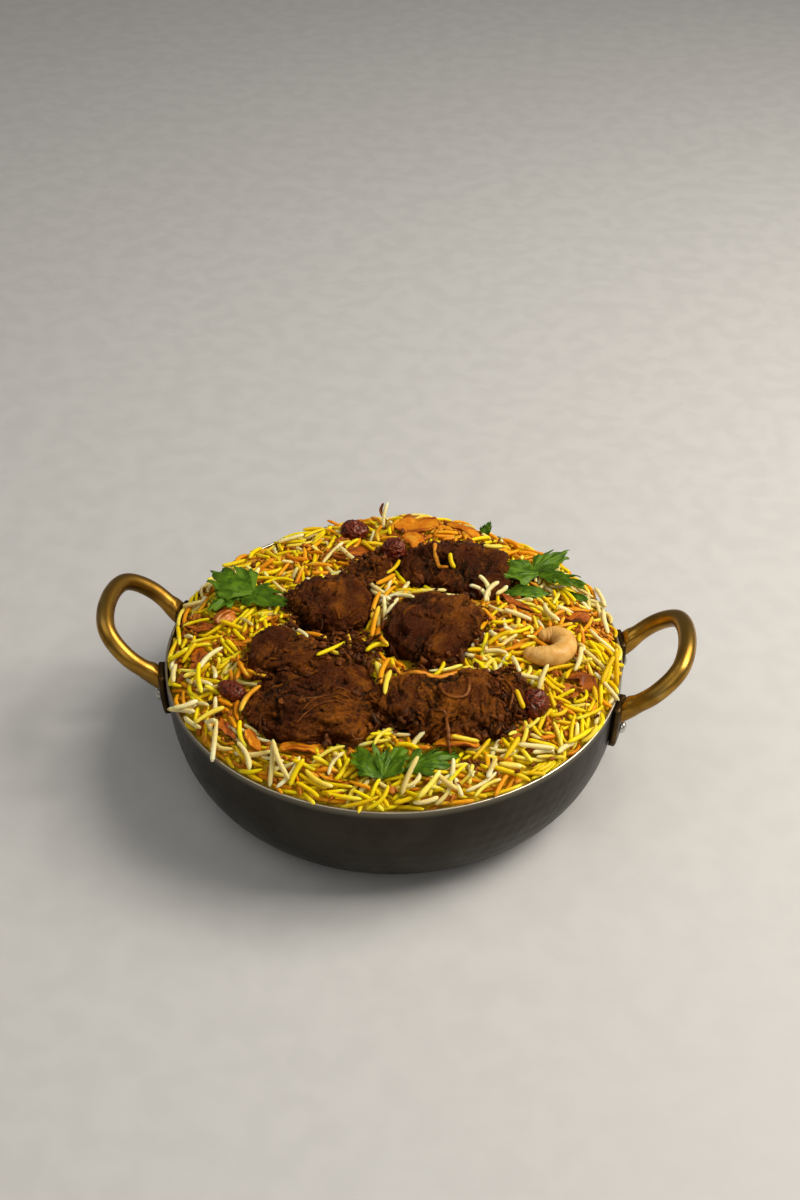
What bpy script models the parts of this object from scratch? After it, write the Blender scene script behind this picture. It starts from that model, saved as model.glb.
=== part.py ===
"""Meat biryani heaped in a round serving pan with two brass loop handles.

The frame has its origin at the centre of the pan's base, +X towards the right handle,
+Y towards the back and +Z up. Sizes below are in millimetres; MM turns them into metres.
"""

import math
from dataclasses import dataclass

import bmesh
import bpy
from mathutils import Matrix, Vector, noise

MM = 0.001

# Pan
RIM_RADIUS = 100.0
PAN_HEIGHT = 55.0
BASE_RADIUS = 65.0
WALL = 1.2
WALL_ROUNDNESS = 2.7
PAN_SEGMENTS = 44
PAN_STEPS = 7

# Handles
ROD_RADIUS = 3.9
LOOP_TILT = math.radians(42.5)
LOOP_START = 100.0
LOOP_DEPTH = 6.0
LOOP_HALF = ((0.0, 22.3), (17.6, 24.0), (31.0, 17.0), (35.2, 0.0))
LOOP_STEPS = 3
ROD_SIDES = 8
ROD_SMOOTH_ANGLE = 60.0
FLARE_LENGTH = 10.0
FLARE_HALF_HEIGHT = 5.3
FLARE_HALF_WIDTH = 4.3
FOOT_TOP_DEPTH = 0.8
FOOT_HEIGHT = 22.0
FOOT_HALF_WIDTH = 7.0
FOOT_THICKNESS = 3.0
FOOT_CORNER_POWER = 5.0
FOOT_END_SHARE = 0.96  # the end rows stop short of the rounded corners' very tip
FOOT_ROWS = 6
FOOT_COLUMNS = 4
RIVET_RADIUS = 2.8
RIVET_HEIGHT = 2.0
RIVET_DEPTH = 14.8
RIVET_SIDES = 12
RIVET_PROFILE = ((1.0, 0.0), (0.9, 0.5), (0.5, 0.9))  # shares of its radius and height

# Clearances
GAP = 0.3
ENVELOPE_GAP = 0.45
RICE_CLEARANCE = 0.5

# Rice
RICE_EDGE_DEPTH = 1.0
RICE_SHOULDER = 5.0
RICE_DOME = 7.0
RICE_ROUGHNESS = 1.9
RICE_COARSE_SCALE = 0.11
RICE_FINE_SCALE = 0.27
RICE_SEGMENTS = 36
RICE_RINGS = (14.0, 32.0, 50.0, 65.0, 78.0, 88.0, 95.0)
RICE_WALL_STEPS = 3
RICE_MOUNDS = (
    # x, y, spread, height
    (4.0, 84.0, 24.0, 4.0),
    (88.0, -6.0, 12.0, 3.0),
    (66.0, 62.0, 16.0, 2.5),
    (-83.0, 32.0, 12.0, 2.0),
    (-60.0, -66.0, 14.0, 1.5),
)

BURIED_SHARE = 0.35
LUMP_SCALE = 1.7
DENT_SCALE = 3.6
MERGE_DISTANCE = 0.05
FOOD_SMOOTH_ANGLE = 60.0

LEAF_THICKNESS = 0.8
LEAF_MIDDLE = 0.45

COLOURS = {
    # name: (linear colour, roughness, metallic)
    "pan_steel": ((0.055, 0.048, 0.036), 0.38, 1.0),
    "brass": ((0.55, 0.31, 0.07), 0.3, 1.0),
    "rivet_steel": ((0.55, 0.55, 0.53), 0.35, 1.0),
    "rice": ((0.76, 0.56, 0.10), 0.5, 0.0),
    "meat": ((0.075, 0.022, 0.006), 0.42, 0.0),
    "cashew": ((0.70, 0.42, 0.14), 0.45, 0.0),
    "stained_nut": ((0.62, 0.20, 0.05), 0.4, 0.0),
    "raisin": ((0.060, 0.012, 0.006), 0.3, 0.0),
    "coriander": ((0.075, 0.20, 0.010), 0.45, 0.0),
    "carrot": ((0.70, 0.19, 0.015), 0.4, 0.0),
    "fried_onion": ((0.28, 0.075, 0.012), 0.4, 0.0),
}


@dataclass(frozen=True)
class Chunk:
    """A rounded lump of food standing partly in the rice."""

    name: str
    finish: str
    x: float
    y: float
    z: float  # height of its middle above the rim
    half: tuple  # half length, half width and half height
    yaw: float = 0.0
    pitch: float = 0.0
    boxiness: float = 2.2  # 2 is an ellipsoid; more is squarer
    roughness: float = 0.07
    bumps: tuple = ()  # (azimuth, elevation, spread, share of the radius), angles in degrees
    segments: int = 14
    bands: int = 9


@dataclass(frozen=True)
class Strip:
    """A flat strip lying on the rice, through points of x, y and lift over the rice."""

    name: str
    finish: str
    points: tuple
    width: float
    thickness: float
    twist: float = 0.0


@dataclass(frozen=True)
class Leaf:
    """One lobed leaflet: its stalk end, the way it points and its size."""

    x: float
    y: float
    lift: float
    heading: float
    length: float
    width: float
    tilt: float = 0.0
    arch: float = 1.5


@dataclass(frozen=True)
class Sprig:
    """Leaflets joined at their stalk ends."""

    name: str
    leaves: tuple
    finish: str = "coriander"


@dataclass(frozen=True)
class CurvedNut:
    """Kidney-shaped nut lying on its side, as a curve of x and y about its middle."""

    name: str
    finish: str
    x: float
    y: float
    lift: float
    path: tuple
    half_widths: tuple


MEATS = (
    Chunk(
        "meat_left", "meat", -44, -22, 8.5, (17, 14, 10.5), -12, 0, 2.3, 0.14,
        ((100, 35, 30, 0.10), (-20, 20, 28, 0.08)),
    ),
    Chunk(
        "meat_front_left", "meat", -26, -49, 6.5, (27, 22, 12), 14, 0, 2.4, 0.14,
        ((175, 10, 26, 0.12), (-75, 20, 30, 0.10), (40, 35, 26, 0.14), (110, 60, 22, -0.20)),
    ),
    Chunk(
        "meat_back_left", "meat", -29, 14, 8.5, (19, 18, 13.5), 6, 0, 2.9, 0.12,
        ((60, 30, 25, 0.10), (200, 10, 30, 0.06)),
    ),
    Chunk("meat_ridge", "meat", -14, 38, 9.5, (9, 13, 9), -22, 0, 2.2, 0.16, ((80, 10, 30, 0.15),)),
    Chunk(
        "meat_back_right", "meat", 24, 46, 8.5, (24, 17, 12.5), -10, 0, 2.3, 0.14,
        ((95, 30, 30, 0.10), (170, 15, 24, 0.10), (-95, 55, 16, -0.22), (0, 10, 25, 0.08)),
    ),
    Chunk(
        "meat_centre", "meat", 18, 1, 10.5, (19, 22, 12.5), -18, 0, 2.6, 0.12,
        ((60, 35, 30, 0.10), (-110, 20, 30, 0.06)),
    ),
    Chunk(
        "meat_front_right", "meat", 25, -46, 7.5, (28, 18, 12), 8, 0, 2.5, 0.13,
        ((60, 50, 22, 0.10), (-60, 25, 14, -0.10), (180, 10, 30, 0.05)),
    ),
    Chunk("meat_shreds", "meat", 56, -36, 8.5, (6.5, 11, 6), 20, 0, 2.0, 0.18, ((100, 30, 25, 0.2),), 11, 7),
)

NUTS = (Chunk("stained_nut", "stained_nut", -76, 5, 7.5, (6, 4.5, 3.6), 55, 0, 2.2, 0.05, (), 10, 6),)

RAISINS = (
    Chunk("raisin_right", "raisin", 63.5, -39.5, 9.5, (5.8, 7.4, 6.0), 0, 0, 2.1, 0.08, (), 10, 6),
    Chunk("raisin_left", "raisin", -63.5, -43, 7.6, (7.6, 4.4, 4.2), -32, 0, 2.1, 0.08, (), 10, 6),
    Chunk("raisin_back", "raisin", -27, 76, 8.6, (7.4, 6.0, 5.0), -8, 0, 2.1, 0.10, (), 10, 6),
    Chunk("raisin_dark", "raisin", -6, 55, 14.0, (5.8, 5.6, 6.4), 0, 0, 2.1, 0.08, (), 10, 6),
)

CASHEW = CurvedNut(
    "cashew", "cashew", 68.5, -2.0, 3.6,
    ((-5.5, 7.6), (0.6, 8.4), (6.2, 4.0), (6.4, -3.4), (1.2, -8.2), (-5.2, -8.6), (-10.0, -7.6)),
    (2.8, 3.9, 4.7, 5.0, 4.9, 4.4, 3.2),
)
CASHEW_SIDES = 10
CASHEW_FLATNESS = 0.92
CASHEW_TIP_SHARE = 0.8
CASHEW_STEPS = 2

STRIP_STEPS = 3
STRIP_END_SHARE = 0.35  # of the width, at both ends
STRIP_BELLY_POWER = 0.6
STRIPS = (
    Strip("carrot_front_right", "carrot", ((24, -67, 2.3), (33, -66.5, 3.1), (42, -65, 2.3)), 6.0, 1.6),
    Strip("carrot_front_left", "carrot", ((-38, -75, 1.7), (-29, -73.5, 2.5), (-20, -75, 1.9)), 6.5, 1.6),
    Strip("carrot_back", "carrot", ((-8, 77, 1.8), (2, 79, 2.8), (12, 82, 3.8)), 12.0, 1.6, 12.0),
    Strip("carrot_inner", "carrot", ((-3, 70, 2.1), (3, 65, 2.9), (6, 58, 3.7)), 9.0, 1.5),
    Strip("carrot_back_right", "carrot", ((16, 85, 1.7), (25, 82, 2.5), (33, 77, 1.7)), 5.0, 1.5),
    Strip("carrot_left", "carrot", ((-63, -27, 2.1), (-60, -32, 2.7), (-57, -36, 2.3)), 5.0, 1.4),
    Strip("carrot_corner", "carrot", ((-53, -66, 2.1), (-50, -71, 2.9), (-46, -76, 2.1)), 5.0, 1.4),
    Strip("onion_rim_left", "fried_onion", ((-93, 2, 1.5), (-87, -1, 2.3), (-79, -2, 1.5)), 5.0, 1.1, 30.0),
    Strip("onion_left", "fried_onion", ((-84, -14, 1.5), (-82, -22, 2.5), (-84, -30, 1.5)), 5.5, 1.1),
    Strip("onion_back_left", "fried_onion", ((-34, 52, 1.9), (-26, 55, 2.9), (-17, 60, 2.1)), 7.0, 1.3),
    Strip("onion_corner", "fried_onion", ((-65, -58, 2.1), (-63, -65, 2.9), (-57, -70, 2.3)), 4.5, 1.1, 25.0),
    Strip("onion_right", "fried_onion", ((75, -21, 1.7), (82, -19, 2.9), (88, -24, 1.7)), 6.0, 1.2, 20.0),
    Strip("onion_back_right", "fried_onion", ((70, 20, 1.7), (77, 23, 2.7), (85, 26, 1.7)), 6.0, 1.2, 15.0),
    Strip("onion_inner_right", "fried_onion", ((45, 30, 2.3), (52, 26, 2.7), (60, 22, 1.9)), 3.6, 1.1),
    Strip("onion_sliver", "fried_onion", ((-13, 86, 1.5), (-16, 88, 6.7), (-15, 89, 11.7)), 1.8, 0.9),
)

SPRIGS = (
    Sprig(
        "coriander_left",
        (
            Leaf(-65, 19, 3.4, 152, 25, 24, 6),
            Leaf(-73, 22, 3.4, -22, 27, 17, 4),
            Leaf(-72, 26, 3.0, -118, 24, 14, 2),
        ),
    ),
    Sprig(
        "coriander_right",
        (
            Leaf(62, 49, 3.4, 182, 25, 20, 4),
            Leaf(58, 51, 3.2, 42, 22, 14, 6),
            Leaf(60, 49, 3.2, -12, 20, 11, 2),
        ),
    ),
    Sprig("coriander_right_low", (Leaf(67, 37, 1.8, 186, 25, 11, 0),)),
    Sprig(
        "coriander_front_left",
        (
            Leaf(6, -87, 2.6, 132, 20, 18, 4),
            Leaf(5, -87, 2.6, 66, 18, 15, 4),
        ),
    ),
    Sprig("coriander_front_right", (Leaf(13, -82, 2.2, 30, 24, 15, 2),)),
    Sprig("coriander_chip_right", (Leaf(84, 40, 1.4, 166, 13, 5, 0, 0.6),)),
    Sprig("coriander_chip_back", (Leaf(33, 83, 1.6, 60, 8, 6, 30, 0.4),)),
)
LEAF_HALF_OUTLINE = (
    # share of the length along the leaf, share of the width to one side
    (0.00, 0.00),
    (0.10, 0.10),
    (0.22, 0.36),
    (0.34, 0.50),
    (0.42, 0.36),
    (0.55, 0.30),
    (0.68, 0.42),
    (0.80, 0.34),
    (0.84, 0.17),
    (1.00, 0.00),
)


def clear_scene():
    """Remove every object that the scene starts with."""
    for scene_object in list(bpy.data.objects):
        bpy.data.objects.remove(scene_object)


def make_material(name):
    """Principled material of one of the named finishes."""
    colour, roughness, metallic = COLOURS[name]
    material = bpy.data.materials.new(name)
    material.use_nodes = True
    shader = material.node_tree.nodes["Principled BSDF"]
    shader.inputs["Base Color"].default_value = (*colour, 1.0)
    shader.inputs["Roughness"].default_value = roughness
    shader.inputs["Metallic"].default_value = metallic
    return material


def add_object(name, work_mesh, material, parent, smooth_angle=40.0):
    """Link a bmesh, built in millimetres, as a named object of the given material."""
    bmesh.ops.triangulate(work_mesh, faces=work_mesh.faces)
    bmesh.ops.recalc_face_normals(work_mesh, faces=work_mesh.faces)
    bmesh.ops.scale(work_mesh, vec=(MM, MM, MM), verts=work_mesh.verts)
    mesh = bpy.data.meshes.new(name)
    work_mesh.to_mesh(mesh)
    work_mesh.free()
    mesh.materials.append(material)
    mesh.shade_smooth()
    mesh.set_sharp_from_angle(angle=math.radians(smooth_angle))
    piece = bpy.data.objects.new(name, mesh)
    piece.parent = parent
    bpy.context.collection.objects.link(piece)
    return piece


def skin(rings):
    """Join rings of points into a closed skin; a ring of one point is a pole, others get a cap."""
    work_mesh = bmesh.new()
    loops = [[work_mesh.verts.new(point) for point in ring] for ring in rings]
    for first, second in zip(loops, loops[1:]):
        count = max(len(first), len(second))
        for i in range(count):
            j = (i + 1) % count
            corners = [first[i % len(first)], first[j % len(first)]]
            corners += [second[j % len(second)], second[i % len(second)]]
            work_mesh.faces.new(list(dict.fromkeys(corners)))
    for cap in (loops[0], loops[-1]):
        if len(cap) > 2:
            work_mesh.faces.new(cap)
    return work_mesh


def smooth_path(points, steps):
    """Catmull-Rom curve through the points, with a number of steps between neighbours."""
    knots = [Vector(point) for point in points]
    knots = [2 * knots[0] - knots[1], *knots, 2 * knots[-1] - knots[-2]]
    path = []
    for before, start, end, after in zip(knots, knots[1:], knots[2:], knots[3:]):
        for step in range(steps):
            t = step / steps
            straight = (end - before) * t
            bend = (2 * before - 5 * start + 4 * end - after) * t * t
            turn = (3 * start - before - 3 * end + after) * t * t * t
            path.append(start + 0.5 * (straight + bend + turn))
    path.append(knots[-2])
    return path


def keep_main_body(mesh):
    """Drop the crumbs that a cut can leave, so that the mesh is one body."""
    work_mesh = bmesh.new()
    work_mesh.from_mesh(mesh)
    left = set(work_mesh.faces)
    bodies = []
    while left:
        front = [left.pop()]
        body = list(front)
        while front:
            face = front.pop()
            for edge in face.edges:
                for other in edge.link_faces:
                    if other in left:
                        left.discard(other)
                        body.append(other)
                        front.append(other)
        bodies.append(body)
    bodies.sort(key=len)
    for body in bodies[:-1]:
        bmesh.ops.delete(work_mesh, geom=body, context="FACES")
    work_mesh.to_mesh(mesh)
    work_mesh.free()


def combine(piece, others, operation, solver="EXACT"):
    """Apply a Boolean of the piece with each other object in turn, and remove those objects."""
    for other in others:
        boolean = piece.modifiers.new(operation.title(), "BOOLEAN")
        boolean.operation = operation
        boolean.solver = solver
        boolean.object = other
        bpy.context.view_layer.update()
        graph = bpy.context.evaluated_depsgraph_get()
        mesh = bpy.data.meshes.new_from_object(piece.evaluated_get(graph))
        keep_main_body(mesh)
        piece.modifiers.clear()
        piece.data = mesh
        bpy.data.objects.remove(other)


def bounds(piece):
    """Lowest and highest corner of a piece in the world."""
    corners = [piece.matrix_world @ vertex.co for vertex in piece.data.vertices]
    low = [min(corner[axis] for corner in corners) for axis in range(3)]
    high = [max(corner[axis] for corner in corners) for axis in range(3)]
    return low, high


def boxes_meet(first, second):
    """Whether two boxes come within the clearance of each other."""
    margin = ENVELOPE_GAP * MM
    low, high = first
    other_low, other_high = second
    return all(low[i] - margin < other_high[i] and other_low[i] - margin < high[i] for i in range(3))


def wall_profile(inset, steps):
    """Radius and height down the wall, from the rim to the edge of the base."""
    points = []
    for step in range(steps + 1):
        angle = math.pi / 2 * step / steps
        radius = BASE_RADIUS + (RIM_RADIUS - inset - BASE_RADIUS) * math.cos(angle) ** (2 / WALL_ROUNDNESS)
        height = PAN_HEIGHT - (PAN_HEIGHT - inset) * math.sin(angle) ** (2 / WALL_ROUNDNESS)
        points.append((radius, height))
    return points


def wall_radius(depth):
    """Outer radius of the pan at a depth below its rim."""
    sine = (depth / PAN_HEIGHT) ** (WALL_ROUNDNESS / 2)
    cosine = math.sqrt(1.0 - sine * sine)
    return BASE_RADIUS + (RIM_RADIUS - BASE_RADIUS) * cosine ** (2 / WALL_ROUNDNESS)


def make_pan(material, parent):
    """Pan body: one profile turned about the vertical axis, up the inside and down the outside."""
    inner = wall_profile(WALL, PAN_STEPS)
    outer = wall_profile(0.0, PAN_STEPS)
    profile = [(0.0, WALL), *reversed(inner), *outer, (0.0, 0.0)]
    mesh = bpy.data.meshes.new("pan_body")
    vertices = [(radius * MM, 0.0, height * MM) for radius, height in profile]
    edges = [(i, i + 1) for i in range(len(profile) - 1)]
    mesh.from_pydata(vertices, edges, [])
    mesh.materials.append(material)
    pan = bpy.data.objects.new("pan_body", mesh)
    pan.parent = parent
    bpy.context.collection.objects.link(pan)
    screw = pan.modifiers.new("Turn", "SCREW")
    screw.steps = PAN_SEGMENTS
    screw.render_steps = PAN_SEGMENTS
    screw.use_merge_vertices = True
    screw.merge_threshold = 0.00005
    screw.use_smooth_shade = True
    return pan


def handle_loop():
    """Brass rod bent into a loop, with a taller section where it meets each foot."""
    half = list(LOOP_HALF)
    knots = half + [(u, -v) for u, v in reversed(half[:-1])]
    path = smooth_path([(u, v, 0.0) for u, v in knots], LOOP_STEPS)
    outward = Vector((math.cos(LOOP_TILT), 0.0, math.sin(LOOP_TILT)))
    plane_normal = Vector((-math.sin(LOOP_TILT), 0.0, math.cos(LOOP_TILT)))
    sideways = Vector((0.0, 1.0, 0.0))
    start = Vector((LOOP_START, 0.0, PAN_HEIGHT - LOOP_DEPTH))
    rings = []
    for i, point in enumerate(path):
        before = path[max(i - 1, 0)]
        after = path[min(i + 1, len(path) - 1)]
        along = (after - before).normalized()
        across = outward * -along.y + sideways * along.x
        centre = start + outward * point.x + sideways * point.y
        wall_tangent = Vector((-centre.y, centre.x, 0.0)).normalized()
        if along.x < 0:
            wall_tangent.negate()
        free = min(1.0, point.x / FLARE_LENGTH)
        free = free * free * (3.0 - 2.0 * free)
        side_axis = wall_tangent.lerp(across, free).normalized()
        up_axis = Vector((0.0, 0.0, 1.0)).lerp(plane_normal, free).normalized()
        half_width = FLARE_HALF_WIDTH + (ROD_RADIUS - FLARE_HALF_WIDTH) * free
        half_height = FLARE_HALF_HEIGHT + (ROD_RADIUS - FLARE_HALF_HEIGHT) * free
        ring = []
        for side in range(ROD_SIDES):
            turn = math.tau * side / ROD_SIDES
            spoke = side_axis * half_width * math.cos(turn) + up_axis * half_height * math.sin(turn)
            ring.append(centre + spoke)
        rings.append(ring)
    return skin(rings)


def foot_angle():
    """Angle about the pan's axis between the handle's middle and each foot."""
    return math.atan2(LOOP_HALF[0][1], LOOP_START)


def foot_plate(side):
    """Flat foot of the handle, curved with the wall; side is 1 or -1."""
    rings = []
    for row in range(FOOT_ROWS + 1):
        share = (2.0 * row / FOOT_ROWS - 1.0) * FOOT_END_SHARE
        depth = FOOT_TOP_DEPTH + FOOT_HEIGHT * (share + 1.0) / 2.0
        half_width = FOOT_HALF_WIDTH * (1.0 - abs(share) ** FOOT_CORNER_POWER) ** (1.0 / FOOT_CORNER_POWER)
        inner_radius = wall_radius(depth) + GAP
        ring = []
        for radius, order in ((inner_radius, 1), (inner_radius + FOOT_THICKNESS, -1)):
            for column in range(FOOT_COLUMNS)[::order]:
                offset = half_width * (2.0 * column / (FOOT_COLUMNS - 1) - 1.0)
                angle = side * foot_angle() + offset / RIM_RADIUS
                ring.append((radius * math.cos(angle), radius * math.sin(angle), PAN_HEIGHT - depth))
        rings.append(ring)
    return skin(rings)


def make_handle(name, turn, material, parent):
    """One handle: the loop joined to its two feet. turn is 0 at +X and pi at -X."""
    handle = add_object(name, handle_loop(), material, parent, ROD_SMOOTH_ANGLE)
    feet = [add_object(f"{name}_foot", foot_plate(side), material, parent) for side in (1, -1)]
    combine(handle, feet, "UNION")
    handle.rotation_euler.z = turn
    return handle


def make_rivet(name, angle, material, parent):
    """Low domed rivet head on the lower half of a foot."""
    rings = []
    for radius_share, height_share in RIVET_PROFILE:
        radius = RIVET_RADIUS * radius_share
        height = RIVET_HEIGHT * height_share
        turns = [math.tau * i / RIVET_SIDES for i in range(RIVET_SIDES)]
        rings.append([(radius * math.cos(turn), radius * math.sin(turn), height) for turn in turns])
    rings.append([(0.0, 0.0, RIVET_HEIGHT)])
    rivet = add_object(name, skin(rings), material, parent)
    slope = wall_radius(RIVET_DEPTH - 1.0) - wall_radius(RIVET_DEPTH + 1.0)
    lean = math.atan2(slope, 2.0)
    radius = wall_radius(RIVET_DEPTH) + GAP + FOOT_THICKNESS + GAP
    place = Vector((radius * math.cos(angle), radius * math.sin(angle), PAN_HEIGHT - RIVET_DEPTH))
    rivet.location = place * MM
    rivet.rotation_euler = (0.0, math.pi / 2 + lean, angle)
    return rivet


def rice_height(x, y):
    """Height of the rice above the base at a place, over its low dome and mounds."""
    share = min(math.hypot(x, y) / (RIM_RADIUS - WALL), 1.0)
    height = PAN_HEIGHT - RICE_EDGE_DEPTH
    height += RICE_SHOULDER * (1.0 - share**8) ** 0.8
    height += RICE_DOME * (1.0 - share**2)
    for mound_x, mound_y, spread, rise in RICE_MOUNDS:
        distance = math.hypot(x - mound_x, y - mound_y) / spread
        height += rise * math.exp(-distance * distance)
    grain = noise.noise(Vector((x, y, 0.0)) * RICE_COARSE_SCALE)
    grain += 0.6 * noise.noise(Vector((x, y, 9.0)) * RICE_FINE_SCALE)
    return height + RICE_ROUGHNESS * grain * min(1.0, (1.0 - share) * 12.0)


def make_rice(material, parent):
    """Rice heap: an uneven dome above, and the inside of the pan below."""
    turns = [math.tau * i / RICE_SEGMENTS for i in range(RICE_SEGMENTS)]
    rings = [[(0.0, 0.0, rice_height(0.0, 0.0))]]
    for radius in RICE_RINGS:
        spots = [(radius * math.cos(turn), radius * math.sin(turn)) for turn in turns]
        rings.append([(x, y, rice_height(x, y)) for x, y in spots])
    wall = wall_profile(WALL + RICE_CLEARANCE, RICE_WALL_STEPS)
    wall[0] = (wall[0][0], PAN_HEIGHT - RICE_EDGE_DEPTH)
    for radius, height in wall:
        rings.append([(radius * math.cos(turn), radius * math.sin(turn), height) for turn in turns])
    rings.append([(0.0, 0.0, WALL + RICE_CLEARANCE)])
    return add_object("rice_heap", skin(rings), material, parent)


def flatten_below(work_mesh, level):
    """Cut a closed mesh flat at a level and close it there, where it lies in the rice."""
    geometry = [*work_mesh.verts, *work_mesh.edges, *work_mesh.faces]
    plane = {"plane_co": (0.0, 0.0, level), "plane_no": (0.0, 0.0, 1.0)}
    bmesh.ops.bisect_plane(work_mesh, geom=geometry, clear_inner=True, **plane)
    bmesh.ops.remove_doubles(work_mesh, verts=work_mesh.verts, dist=MERGE_DISTANCE)
    rim = [edge for edge in work_mesh.edges if edge.is_boundary]
    bmesh.ops.contextual_create(work_mesh, geom=rim)


def make_chunk(chunk, material, parent, grow=0.0):
    """Rounded, uneven lump: a ball pushed out to a soft box with bumps and hollows."""
    work_mesh = bmesh.new()
    bmesh.ops.create_uvsphere(work_mesh, u_segments=chunk.segments, v_segments=chunk.bands, radius=1.0)
    shift = Vector((chunk.x, chunk.y, 3.0))
    for vertex in work_mesh.verts:
        way = vertex.co.normalized()
        reach = sum(abs(part) ** chunk.boxiness for part in way) ** (-1.0 / chunk.boxiness)
        unevenness = noise.noise(way * LUMP_SCALE + shift) + 0.5 * noise.noise(way * DENT_SCALE - shift)
        reach *= 1.0 + chunk.roughness * unevenness
        for azimuth, elevation, spread, share in chunk.bumps:
            level = math.cos(math.radians(elevation))
            turn = math.radians(azimuth)
            rise = math.sin(math.radians(elevation))
            bump_way = Vector((level * math.cos(turn), level * math.sin(turn), rise))
            away = math.degrees(way.angle(bump_way)) / spread
            reach *= 1.0 + share * math.exp(-away * away)
        vertex.co = Vector([part * reach * (half + grow) for part, half in zip(way, chunk.half)])
    flatten_below(work_mesh, -BURIED_SHARE * chunk.half[2] - grow)
    piece = add_object(chunk.name, work_mesh, material, parent, FOOD_SMOOTH_ANGLE)
    piece.location = Vector((chunk.x, chunk.y, PAN_HEIGHT + chunk.z)) * MM
    piece.rotation_euler = (0.0, math.radians(chunk.pitch), math.radians(chunk.yaw))
    return piece


def make_curved_nut(nut, material, parent, grow=0.0):
    """Nut as rings along its curve, thickest in the middle, with a pole at each end."""
    path = smooth_path([(x, y, 0.0) for x, y in nut.path], CASHEW_STEPS)
    width_knots = [(width, 0.0, 0.0) for width in nut.half_widths]
    widths = [knot.x + grow for knot in smooth_path(width_knots, CASHEW_STEPS)]
    rings = [[path[0] + (path[0] - path[1]).normalized() * widths[0] * CASHEW_TIP_SHARE]]
    for i, centre in enumerate(path):
        along = (path[min(i + 1, len(path) - 1)] - path[max(i - 1, 0)]).normalized()
        across = Vector((-along.y, along.x, 0.0))
        ring = []
        for side in range(CASHEW_SIDES):
            turn = math.tau * side / CASHEW_SIDES
            lift = Vector((0.0, 0.0, CASHEW_FLATNESS * math.sin(turn)))
            ring.append(centre + (across * math.cos(turn) + lift) * widths[i])
        rings.append(ring)
    rings.append([path[-1] + (path[-1] - path[-2]).normalized() * widths[-1] * CASHEW_TIP_SHARE])
    piece = add_object(nut.name, skin(rings), material, parent, FOOD_SMOOTH_ANGLE)
    piece.location = Vector((nut.x, nut.y, rice_height(nut.x, nut.y) + nut.lift)) * MM
    return piece


def make_strip(strip, material, parent, grow=0.0):
    """Flat strip with narrow ends, bent along its points and turned over by its twist."""
    middle_x, middle_y = strip.points[len(strip.points) // 2][:2]
    base = rice_height(middle_x, middle_y)
    knots = [(x - middle_x, y - middle_y, rice_height(x, y) + lift - base) for x, y, lift in strip.points]
    path = smooth_path(knots, STRIP_STEPS)
    rings = []
    for i, centre in enumerate(path):
        share = i / (len(path) - 1)
        along = (path[min(i + 1, len(path) - 1)] - path[max(i - 1, 0)]).normalized()
        roll = Matrix.Rotation(math.radians(strip.twist) * (2.0 * share - 1.0), 3, along)
        across = roll @ along.cross(Vector((0.0, 0.0, 1.0))).normalized()
        normal = across.cross(along)
        belly = math.sin(math.pi * share) ** STRIP_BELLY_POWER
        half_width = strip.width / 2 * (STRIP_END_SHARE + (1.0 - STRIP_END_SHARE) * belly) + grow
        half_thickness = strip.thickness / 2 + grow
        end = centre + along * grow * (2.0 * share - 1.0)
        corners = ((-1, -1), (1, -1), (1, 1), (-1, 1))
        rings.append([end + across * half_width * u + normal * half_thickness * v for u, v in corners])
    piece = add_object(strip.name, skin(rings), material, parent)
    piece.location = Vector((middle_x, middle_y, base)) * MM
    return piece


def leaf_blade(leaf, origin, grow):
    """Thin lobed leaflet as a closed blade, arched along its length."""
    half = list(LEAF_HALF_OUTLINE)
    outline = half + [(along, -side) for along, side in reversed(half[1:-1])]
    turn = Matrix.Rotation(math.radians(leaf.heading), 3, "Z")
    tilt = Matrix.Rotation(math.radians(-leaf.tilt), 3, "Y")
    stalk = Vector((leaf.x, leaf.y, rice_height(leaf.x, leaf.y) + leaf.lift)) - origin
    work_mesh = bmesh.new()

    def corner(along, side, level):
        rise = leaf.arch * math.sin(math.pi * along) - 1.2 * leaf.arch * side * side
        past = (along - LEAF_MIDDLE) * 2.0 * grow
        local = Vector((along * leaf.length + past, side * (leaf.width + 2.0 * grow), rise + level))
        return work_mesh.verts.new(stalk + turn @ (tilt @ local))

    half_thickness = LEAF_THICKNESS / 2 + grow
    top = [corner(along, side, half_thickness) for along, side in outline]
    bottom = [corner(along, side, -half_thickness) for along, side in outline]
    top_rib = corner(LEAF_MIDDLE, 0.0, half_thickness)
    bottom_rib = corner(LEAF_MIDDLE, 0.0, -half_thickness)
    for i in range(len(outline)):
        j = (i + 1) % len(outline)
        work_mesh.faces.new((top[i], top[j], top_rib))
        work_mesh.faces.new((bottom[j], bottom[i], bottom_rib))
        work_mesh.faces.new((top[j], top[i], bottom[i], bottom[j]))
    return work_mesh


def make_sprig(sprig, material, parent, grow=0.0):
    """Sprig of leaflets joined at their stalk ends."""
    first = sprig.leaves[0]
    origin = Vector((first.x, first.y, rice_height(first.x, first.y)))
    blades = []
    for leaf in sprig.leaves:
        blade = add_object(sprig.name, leaf_blade(leaf, origin, grow), material, parent)
        blade.location = origin * MM
        blades.append(blade)
    if len(blades) > 1:
        combine(blades[0], blades[1:], "UNION")
    return blades[0]


def copy_of(piece):
    """Second object that shares the piece's mesh and place."""
    copy = piece.copy()
    bpy.context.collection.objects.link(copy)
    return copy


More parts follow.
